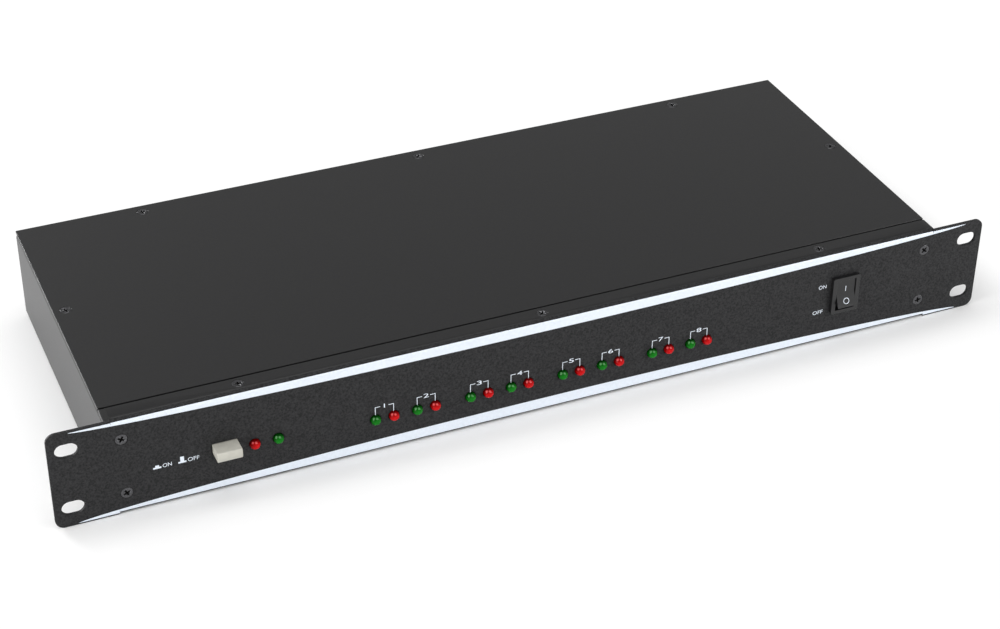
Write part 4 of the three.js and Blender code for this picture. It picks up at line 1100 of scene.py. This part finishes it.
class SPLITTER_OT_box(bpy.types.Operator):
    """Box: the folded chassis, and the cover with its tongue under the front strip"""
    bl_idname = "splitter.box"
    bl_label = "Chassis and Cover"

    def execute(self, context):
        s = context.scene.splitter_box
        paint = smooth_powder_coat(s.paint)
        shell = copy_of("chassis")
        add_piece("chassis_shell", shell, [paint], "chassis", ["chassis"], bevel=s.edge)
        ends = mesh_from("strip_ends", self.strip_ends(s))
        add_piece("strip_ends", ends, [paint], "chassis")
        cover = mesh_from("cover_sheet", self.cover(s, context.scene.splitter_screws))
        add_piece("cover_sheet", cover, [paint], "top_cover", ["top_cover"])
        return {"FINISHED"}

    def strip_ends(self, s):
        """Carries the front strip on over the relief at each end, to the side of the box, a hair
        lower than the strip, and closes the ends of the groove behind it."""
        _, high = corners("chassis")
        front = panel_face()[0][1]
        y0, y1 = front + s.strip_start, front + s.strip_end
        y2 = y1 + s.groove - s.edge
        top, bottom = high[2] - s.end_drop, high[2] - 2 * s.sheet
        groove_top = high[2] - s.groove_end_drop
        shape = []
        for side in (-1, 1):
            end = high[0] - s.end_gap
            x0, x1 = sorted([side * end, side * (high[0] - s.end_run)])
            shape += block(x0, y0, bottom, x1, y1, top, s.edge)
            x0, x1 = sorted([side * end, side * (high[0] - s.tongue_inset)])
            shape += block(x0, y1 - s.edge, bottom, x1, y2, groove_top, 0)
        return shape

    def cover(self, s, screw):
        """A flat sheet with countersunk holes, and the tongue one step lower, with the riser that
        joins them just behind the sheet's front edge."""
        low, high = corners("top_cover")
        front, top = panel_face()[0][1] + s.strip_end + s.groove, high[2]
        bottom, e = top - s.sheet, s.edge
        across, along = (low[0] + high[0]) / 2, (front + high[1]) / 2
        outline = rounded(across, along, high[0] - low[0], high[1] - front, s.corner)
        holes = []
        for node in frame["nodes"]:
            x, y, _ = middle(node)
            if node.startswith("cover_screw") and y > front:
                holes.append(countersunk(x, y, top, s.sheet, screw))
        shape = plate(carry(outline, [(e, top), (0, top - e), (0, bottom + e), (e, bottom)]), holes)
        x0, x1 = low[0] + s.tongue_inset, high[0] - s.tongue_inset
        under = top - s.step
        shape += block(x0, low[1], under - s.sheet, x1, front + s.tongue_overlap, under, e)
        shape += block(x0, front + e, under - e, x1, front + s.sheet, bottom + e, 0)
        return shape


def with_drive(shape, share):
    """Gives the second material, the painted shade of the drive, to the faces whose points lie more
    than a third of the way down the drive. Points past the head's face lie outside it."""
    points, faces, _ = shape[0]
    deep = np.zeros(len(points))
    deep[:share.size] = share.ravel()
    # The faces deep in the recess, which take the painted shade.
    inside = deep[faces].mean(1) > 1 / 3
    return [(points, faces[~inside], 0), (points, faces[inside], 1)]


def cross(s, x, y):
    """How deep the drive is at each point, from 0 to 1: the larger of two ramps, one for each arm
    of the cross. A ramp rises from 0 at the arm's edge to 1 a little way inside it."""
    ramps = []
    for across, along in ((x, y), (y, x)):
        side = (s.half - np.abs(across)) / (s.half * s.side_slope)
        end = (s.arm - np.abs(along)) / (s.arm * s.end_slope)
        ramps.append(np.clip(np.minimum(side, end), 0, 1))
    return np.maximum(*ramps)


def cross_head(s):
    """A screw along the outward axis with its head's face at the origin. The rows of points are
    close over the cross and wider towards the rim. The outer tenth of the face falls as the
    square of the distance."""
    turn = turns(SCREW_POINTS)
    share = np.concatenate([
        np.linspace(0, 0.72, DRIVE_ROWS), np.linspace(0.76, 1, RIM_ROWS),
    ])[:, None]
    x, y = share * s.head * np.cos(turn), share * s.head * np.sin(turn)
    drive = cross(s, x, y)
    rim = np.clip((share - 0.9) / 0.1, 0, 1) ** 2 * s.rim_round
    face_rows = np.stack([x, y, -s.recess * drive - rim], -1)
    shank = rings([
        (s.head, -s.land), (s.shank, -s.head_depth), (s.shank, s.land - s.total),
        (s.shank - s.land, -s.total), (0, -s.total),
    ], turn)
    return with_drive(grid(np.concatenate([face_rows, shank]), True), drive)


def pan_head(s, radius, proud):
    """A pan head on a face: its height is a flattened quarter circle of the distance from the
    middle, less the same cross as on the other screws."""
    turn = turns(PAN_POINTS)
    share = np.linspace(0, 1, DRIVE_ROWS)[:, None]
    x, y = share * radius * np.cos(turn), share * radius * np.sin(turn)
    drive = cross(s, x, y)
    top = np.stack([x, y, proud * ((1 - share ** 4) ** 0.5 - drive)], -1)
    foot = rings([(radius, -s.land), (0, -s.land)], turn)
    return with_drive(grid(np.concatenate([top, foot]), True), drive)


def pan_heads(head, places, start):
    """A pan head at each place, one radian further round each time. Its two materials come
    after the two of the part that it holds."""
    shape = []
    for i, (x, y) in enumerate(places):
        shape += moved(repaint(head, 2), spin(start + i), (x, y, 0))
    return shape


class SPLITTER_OT_screws(bpy.types.Operator):
    """Screws: countersunk, with a cross recess, each turned differently"""
    bl_idname = "splitter.screws"
    bl_label = "Screws"

    def execute(self, context):
        s = context.scene.splitter_screws
        finishes = [black_oxide_steel(s.steel), oiled_drive(s.oiled)]
        head = cross_head(s)
        for i, node in enumerate(nodes_with("_screw_")):
            low, high = corners(node)
            x, y, z = middle(node)
            way, place = FACING_UP, (x, y, high[2])
            if node.startswith("panel"):
                way, place = FACING_FRONT, (x, low[1], z)
            name = f"{node}_body"
            mesh = mesh_from(name, moved(head, spin(i * s.turn) @ way, place))
            add_piece(name, mesh, finishes, node, [node], sharp=45)
        return {"FINISHED"}


class SPLITTER_OT_lamps(bpy.types.Operator):
    """Lamps: 5 mm domes with a rim behind the front wall"""
    bl_idname = "splitter.lamps"
    bl_label = "Lamps"

    def execute(self, context):
        s = context.scene.splitter_lamps
        lenses = {
            "green_lens": tinted_epoxy("green_epoxy", s.green),
            "red_lens": tinted_epoxy("red_epoxy", s.red),
        }
        for node in nodes_with("_lamp"):
            low, high = corners(node)
            x, _, z = middle(node)
            back = s.proud - (high[1] - low[1])
            dome = arc(0, s.proud - s.radius, s.radius, 0, 90, DOME_STEPS)
            profile = [
                (0, back), (s.rim, back), (s.rim, back + s.rim_depth),
                (s.radius, back + s.rim_depth), *dome[:-1].tolist(), (0, s.proud),
            ]
            lens = turned(profile, LAMP_POINTS)
            shape = moved(lens, FACING_FRONT, (x, low[1] + s.proud, z))
            mesh = mesh_from(f"{node}_lens", shape)
            add_piece(f"{node}_lens", mesh, [lenses[SLOT_OF[node]]], node, [node], sharp=40)
        return {"FINISHED"}


class SPLITTER_OT_button(bpy.types.Operator):
    """Terminate button: the moulded cap and its stem"""
    bl_idname = "splitter.button"
    bl_label = "Button"

    def execute(self, context):
        s = context.scene.splitter_button
        node = "terminate_button"
        add_piece("button_cap", copy_of(node), [cream_abs(s.plastic)], node, [node], bevel=s.edge)
        return {"FINISHED"}


class SPLITTER_OT_switch(bpy.types.Operator):
    """Power switch: bezel and body, the rocker, and the I and O on its faces"""
    bl_idname = "splitter.switch"
    bl_label = "Power Switch"

    def execute(self, context):
        s = context.scene.splitter_switch
        plastic = moulded_black("switch_nylon", s.plastic, roughness=0.34)
        names = {"power_switch_housing": "switch_bezel", "power_rocker": "rocker_paddle"}
        for node, name in names.items():
            add_piece(name, copy_of(node), [plastic], node, [node], bevel=s.edge, sharp=50)
        self.marks(s, context.scene.splitter_print)
        return {"FINISHED"}

    def marks(self, s, ink):
        """The I on the upright upper face, and the O on the lower one, which leans back."""
        x = middle("power_switch_housing")[0]
        axle = RECORD_JOINTS["power_rock"]["pos_m"][2]
        y = corners("power_rocker")[0][1] + s.face_depth
        half, tall = s.mark_line / 2, s.line_mark / 2
        loop = np.array([[-half, -tall], [half, -tall], [half, tall], [-half, tall]])
        shape = moved(film(loop, ink.ink), FACING_FRONT, (x, y, axle + s.line_rise))
        ring = oval_ring(s.ring_width, s.ring_height, s.mark_line, ink.ink)
        c, n = math.cos(s.face_turn), math.sin(s.face_turn)
        leaning_back = np.array([[1, 0, 0], [0, n, c], [0, -c, n]])
        drop = s.ring_drop
        place = (x, y - drop * n, axle + s.valley_rise - drop * c)
        shape += moved(ring, leaning_back, place)
        mesh = mesh_from("rocker_marks", shape)
        add_piece("rocker_marks", mesh, [screen_print(ink.ink_colour)], "power_rocker")


class SPLITTER_OT_sockets(bpy.types.Operator):
    """Rear sockets: one with pins, the others with contact holes and a latch"""
    bl_idname = "splitter.sockets"
    bl_label = "Rear Sockets"

    def execute(self, context):
        s, screw = context.scene.splitter_sockets, context.scene.splitter_screws
        finishes = [
            moulded_black("glass_filled_nylon", s.plastic, roughness=0.42),
            plated_metal("silver_plated_brass", s.contact, roughness=0.25),
            black_oxide_steel(screw.steel),
            oiled_drive(screw.oiled),
        ]
        latch = plated_metal("stamped_steel", s.latch, roughness=0.32)
        male, female = self.input_shape(s, screw), self.output_shape(s, screw)
        for node in nodes_with("_socket"):
            x, _, z = middle(node)
            place = (x, corners(node)[1][1] - s.rim_proud, z)
            shape = male if node == "input_socket" else female
            mesh = mesh_from(f"{node}_shell", moved(shape, FACING_REAR, place))
            add_piece(f"{node}_shell", mesh, finishes, node, [node], sharp=50)
        for node in nodes_with("_latch"):
            add_piece(f"{node}_tab", copy_of(node), [latch], node, [node], bevel=s.edge)
        return {"FINISHED"}

    def flange(self, s, low, high, opening):
        """The flange between two heights, with a broken edge if it reaches the face."""
        loop = rounded(0, 0, s.flange_width, s.flange_height, s.corner)
        rows = [(0, high), (0, low)]
        if high >= 0:
            rows = [(s.edge, high), (0, high - s.edge), (0, low)]
        return plate(carry(loop, rows), [carry(opening, [(0, high), (0, low)])])

    def cup(self, s, top):
        """The bore's wall and floor with the barrel round them, turned about the axis."""
        floor, end = s.rim_proud - s.bore_depth, -s.barrel_depth
        return turned([
            (0, floor), (s.bore, floor), (s.bore, top), (s.barrel, top), (s.barrel, end), (0, end),
        ], BARREL_POINTS)

    def rim(self, s, notch_half, low):
        """The rim's section carried round the axis from one side of the notch to the other. The
        angle at which a point starts is the arc sine of the notch's half width over its radius,
        so the notch has flat sides. With no notch the section goes all the way round."""
        e, r0, r1, high = s.edge, s.bore, s.rim, s.rim_proud
        section = np.array([
            (r0, low), (r0, high - e), (r0 + e, high), (r1 - e, high), (r1, high - e), (r1, low),
        ])
        radius, height = section.T[:, :, None]
        start = np.arcsin(notch_half / radius)
        turn = start + (2 * np.pi - 2 * start) * np.linspace(0, 1, BORE_POINTS + 1)
        across, up = radius * np.sin(turn), radius * np.cos(turn)
        rows = np.stack([across, up, np.broadcast_to(height, turn.shape)], -1)
        shape = grid(np.concatenate([rows, rows[:1]]), False)
        if notch_half:
            shape += face([rows[:, 0]]) + face([rows[:, -1]])
        return shape

    def screws(self, s, screw):
        """Two pan heads at opposite corners of the flange."""
        places = [(-s.screw_x, -s.screw_z), (s.screw_x, s.screw_z)]
        return pan_heads(pan_head(screw, s.screw, s.screw_proud), places, start=0.6)

    def input_shape(self, s, screw):
        """A bore with a key at its foot and three round-tipped pins on its floor."""
        floor = s.rim_proud - s.bore_depth
        bore = circle(0, 0, s.bore, BORE_POINTS)
        shape = self.flange(s, -s.flange, 0, bore) + self.cup(s, -s.flange / 2)
        shape += self.rim(s, 0, -s.flange / 2) + self.screws(s, screw)
        half, foot, top = s.key_width / 2, -s.bore - s.key_bite, s.rim_proud - s.key_drop
        shape += block(-half, foot, floor, half, s.key_height - s.bore, top, s.key_edge)
        tip = arc(0, s.pin_length - s.pin, s.pin, 0, 90, TIP_STEPS)[:-1].tolist()
        pin = turned([(0, 0), (s.pin, 0), *tip, (0, s.pin_length)], PIN_POINTS, 1)
        for x, y in self.contacts(s):
            shape += moved(pin, FACING_UP, (x, y, floor))
        return shape

    def output_shape(self, s, screw):
        """A bore with a pocket for the latch over it, and a core with three lined holes."""
        floor, pocket = s.rim_proud - s.bore_depth, s.rim_proud - s.notch_depth
        half, top = s.notch_half, s.notch_top
        start = math.degrees(math.asin(half / s.bore))
        round_part = arc(0, 0, s.bore, 90 + start, 450 - start, KEYHOLE_STEPS)
        keyhole = np.vstack([round_part, [[half, top], [-half, top]]])
        shape = self.flange(s, pocket, 0, keyhole)
        shape += self.flange(s, -s.flange, pocket, circle(0, 0, s.bore, BORE_POINTS))
        shape += self.cup(s, pocket - s.lap) + self.rim(s, half, pocket + s.lap / 2)
        shape += self.screws(s, screw)
        core_face, e = s.rim_proud - s.core_recess, s.edge
        mouth, bottom = core_face - s.sleeve_drop, core_face - s.hole_depth
        holes, sleeves = [], []
        for x, y in self.contacts(s):
            loop = circle(x, y, s.hole, CONTACT_POINTS)
            rows = [(-e / 2, core_face), (0, core_face - e / 2), (0, bottom)]
            holes.append(carry(loop, rows))
            tube = circle(x, y, s.hole - s.sleeve_gap, CONTACT_POINTS)
            rows = [(0, mouth), (0, bottom)]
            sleeves += plate(carry(tube, rows), [carry(inset(tube, s.sleeve), rows)], 1)
        rows = [(e, core_face), (0, core_face - e), (0, floor - s.lap)]
        core = carry(circle(0, 0, s.core, CORE_POINTS), rows)
        return shape + plate(core, holes) + sleeves

    def contacts(self, s):
        """Left, right and below the axis."""
        return [(-s.circle, 0), (s.circle, 0), (0, -s.circle)]


class SPLITTER_OT_inlet(bpy.types.Operator):
    """Mains inlet: flange, recess and blades, with the fuse drawer under them"""
    bl_idname = "splitter.inlet"
    bl_label = "Mains Inlet"

    def execute(self, context):
        s, screw = context.scene.splitter_inlet, context.scene.splitter_screws
        finishes = [
            moulded_black("inlet_thermoplastic", s.plastic, roughness=0.38),
            plated_metal("nickel_plated_brass", s.blade, roughness=0.22),
            black_oxide_steel(screw.steel),
            oiled_drive(screw.oiled),
        ]
        node = "mains_inlet"
        x, _, z = middle(node)
        place = (x, corners(node)[1][1] - s.screw_proud, z)
        head = pan_head(screw, s.screw, s.screw_proud)
        shape = self.housing(s) + self.blades(s)
        shape += pan_heads(head, [(-s.screw_x, 0), (s.screw_x, 0)], start=0.3)
        mesh = mesh_from("inlet_housing", moved(shape, FACING_REAR, place))
        add_piece("inlet_housing", mesh, finishes, node, [node], sharp=50)
        node = "fuse_drawer"
        plastic = finishes[:1]
        add_piece("fuse_drawer_tray", copy_of(node), plastic, node, [node], bevel=s.edge / 2)
        return {"FINISHED"}

    def recess_loop(self, s):
        """The connector recess: a rectangle with its two upper corners cut off."""
        w, c = s.recess_width / 2, s.recess_cut
        low, high = s.recess_rise - s.recess_height / 2, s.recess_rise + s.recess_height / 2
        return np.array([
            [-w, low], [w, low], [w, high - c], [w - c, high], [c - w, high], [-w, high - c],
        ])

    def housing(self, s):
        """Flange with both openings through it, and behind it the body with the same openings
        as blind pockets, so that each wall is closed."""
        e, back, recess = s.edge, -s.flange, self.recess_loop(s)
        pocket = rounded(
            0, -s.drawer_drop, s.pocket_width, s.pocket_height, s.pocket_corner, SMALL_STEPS
        )
        through = [
            carry(recess, [(-e, 0), (0, -e), (0, back)]), carry(pocket, [(0, 0), (0, back)]),
        ]
        loop = rounded(0, 0, s.width, s.height, s.corner)
        flange = plate(carry(loop, [(e, 0), (0, -e), (0, back)]), through)
        blind = [
            carry(recess, [(0, back), (0, -s.recess_depth)]),
            carry(pocket, [(0, back), (0, -s.pocket_depth)]),
        ]
        loop = rounded(0, 0, s.body_width, s.body_height, s.body_corner, SMALL_STEPS)
        return flange + plate(carry(loop, [(0, back), (0, -s.body_end)]), blind)

    def blades(self, s):
        """Three flat blades with chamfered tips, the earth blade above the other two."""
        tip, root = s.blade_length - s.recess_depth, -s.recess_depth - s.blade_root
        rows = [(s.blade_tip, tip), (0, tip - s.blade_taper), (0, root)]
        span, drop = s.blade_span / 2, s.blade_drop
        shape = []
        for x, y in ((-span, -drop), (span, -drop), (0, drop)):
            y += s.recess_rise
            loop = rounded(x, y, s.blade_thick, s.blade_height, s.blade_corner, SMALL_STEPS)
            shape += plate(carry(loop, rows), paint=1)
        return shape


class SPLITTER_OT_inside(bpy.types.Operator):
    """Inside: finishes for the two boards and the transformer"""
    bl_idname = "splitter.inside"
    bl_label = "Boards and Transformer"

    def execute(self, context):
        s = context.scene.splitter_inside
        board = solder_resist(s.board, s.track)
        core = laminated_steel(s.core)
        finishes = {"main_board": board, "lamp_board": board, "transformer": core}
        for node, material in finishes.items():
            for item in frame["nodes"][node].material_slots:
                item.material = material
        return {"FINISHED"}


class SPLITTER_OT_stage(bpy.types.Operator):
    """Stage: paper floor, soft studio light, world and camera"""
    bl_idname = "splitter.stage"
    bl_label = "Stage"

    def execute(self, context):
        s = context.scene.splitter_stage
        scene = context.scene
        scene.view_settings.view_transform = "Standard"
        side = s.floor_half
        corner = [(-side, -side, 0), (side, -side, 0), (side, side, 0), (-side, side, 0)]
        mesh = bpy.data.meshes.new("paper_floor")
        mesh.from_pydata(corner, [], [(0, 1, 2, 3)])
        origin, half, _ = panel_face()
        half_size = (half, -origin[1], 0)
        mesh.materials.append(studio_paper(s.paper, half_size, s.near, s.far))
        floor = bpy.data.objects.new("paper_floor", mesh)
        scene.collection.objects.link(floor)
        self.world(scene, s)
        self.lamps(scene)
        self.camera(scene, s)
        return {"FINISHED"}

    def world(self, scene, s):
        """A white backdrop round the horizon that falls off to a dimmer ceiling: the height of a
        direction is the Z of its unit vector."""
        world = bpy.data.worlds.new("studio")
        scene.world = world
        world.use_nodes = True
        tree = world.node_tree
        tree.nodes.clear()
        way = add_node(tree, "TexCoord").outputs["Generated"]
        height = add_node(tree, "SeparateXYZ", {0: way}).outputs[2]
        level = add_node(tree, "MapRange", {
            0: height, 1: s.horizon, 2: s.overhead, 3: 1.0, 4: s.ceiling,
        }, interpolation_type="SMOOTHSTEP")
        back = add_node(tree, "Background", {"Color": (1, 1, 1, 1), "Strength": level.outputs[0]})
        add_node(tree, "OutputWorld", {"Surface": back.outputs[0]})

    def lamps(self, scene):
        """Soft boxes, each turned from its place to its aim."""
        for name, place, aim, size, power in SOFT_BOXES:
            light = bpy.data.lights.new(name, "AREA")
            light.shape = "RECTANGLE"
            light.size, light.size_y = size
            light.energy = power
            item = bpy.data.objects.new(name, light)
            scene.collection.objects.link(item)
            away = np.array(place) - np.array(aim)
            item.matrix_world = look_from(np.array(place), away / np.linalg.norm(away), 0.0)

    def camera(self, scene, s):
        """The camera that the photograph was fitted with, turned and raised about its target."""
        target = panel_face()[0] + np.array([s.target_x, 0, s.target_z])
        flat = math.cos(s.elevation)
        back = np.array([
            math.sin(s.azimuth) * flat, -math.cos(s.azimuth) * flat, math.sin(s.elevation),
        ])
        camera = bpy.data.cameras.new("camera")
        camera.sensor_width = s.sensor / MM
        camera.lens = s.focal * camera.sensor_width / IMAGE_WIDTH
        item = bpy.data.objects.new("camera", camera)
        scene.collection.objects.link(item)
        item.matrix_world = look_from(target + back * s.distance, back, s.roll)
        scene.camera = item


def look_from(place, back, roll):
    """A frame at a place whose own Z axis points back along the view, rolled about it."""
    right = np.cross(-back, (0, 0, 1))
    right /= np.linalg.norm(right)
    up = np.cross(right, -back)
    across = math.cos(roll) * right + math.sin(roll) * up
    upward = math.cos(roll) * up - math.sin(roll) * right
    rows = np.column_stack([across, upward, back, place])
    return Matrix([*rows.tolist(), [0, 0, 0, 1]])


# Registration

SETTINGS = {
    "splitter_panel": PanelSizes,
    "splitter_print": PrintSizes,
    "splitter_box": BoxSizes,
    "splitter_screws": ScrewSizes,
    "splitter_lamps": LampSizes,
    "splitter_button": ButtonSizes,
    "splitter_switch": SwitchSizes,
    "splitter_sockets": SocketSizes,
    "splitter_inlet": InletSizes,
    "splitter_inside": InsideSizes,
    "splitter_stage": StageSizes,
}

OPERATORS = [
    SPLITTER_OT_stage,
    SPLITTER_OT_panel,
    SPLITTER_OT_print,
    SPLITTER_OT_box,
    SPLITTER_OT_screws,
    SPLITTER_OT_lamps,
    SPLITTER_OT_button,
    SPLITTER_OT_switch,
    SPLITTER_OT_sockets,
    SPLITTER_OT_inlet,
    SPLITTER_OT_inside,
]


class SPLITTER_PT_sidebar(bpy.types.Panel):
    """Lists the operators and the sizes"""
    bl_idname = "SPLITTER_PT_sidebar"
    bl_label = "Splitter"
    bl_space_type = "VIEW_3D"
    bl_region_type = "UI"
    bl_category = "Splitter"

    def draw(self, context):
        for operator in OPERATORS:
            self.layout.operator(operator.bl_idname)
        for name, group in SETTINGS.items():
            box = self.layout.box()
            for key in group.__annotations__:
                box.prop(getattr(context.scene, name), key)


CLASSES = [*SETTINGS.values(), *OPERATORS, SPLITTER_PT_sidebar]


def register():
    for item in CLASSES:
        bpy.utils.register_class(item)
    for name, group in SETTINGS.items():
        setattr(bpy.types.Scene, name, PointerProperty(type=group))


def unregister():
    for name in SETTINGS:
        delattr(bpy.types.Scene, name)
    for item in reversed(CLASSES):
        bpy.utils.unregister_class(item)


def main():
    register()
    for operator in OPERATORS:
        family, name = operator.bl_idname.split(".")
        getattr(getattr(bpy.ops, family), name)()


if __name__ == "__main__":
    main()
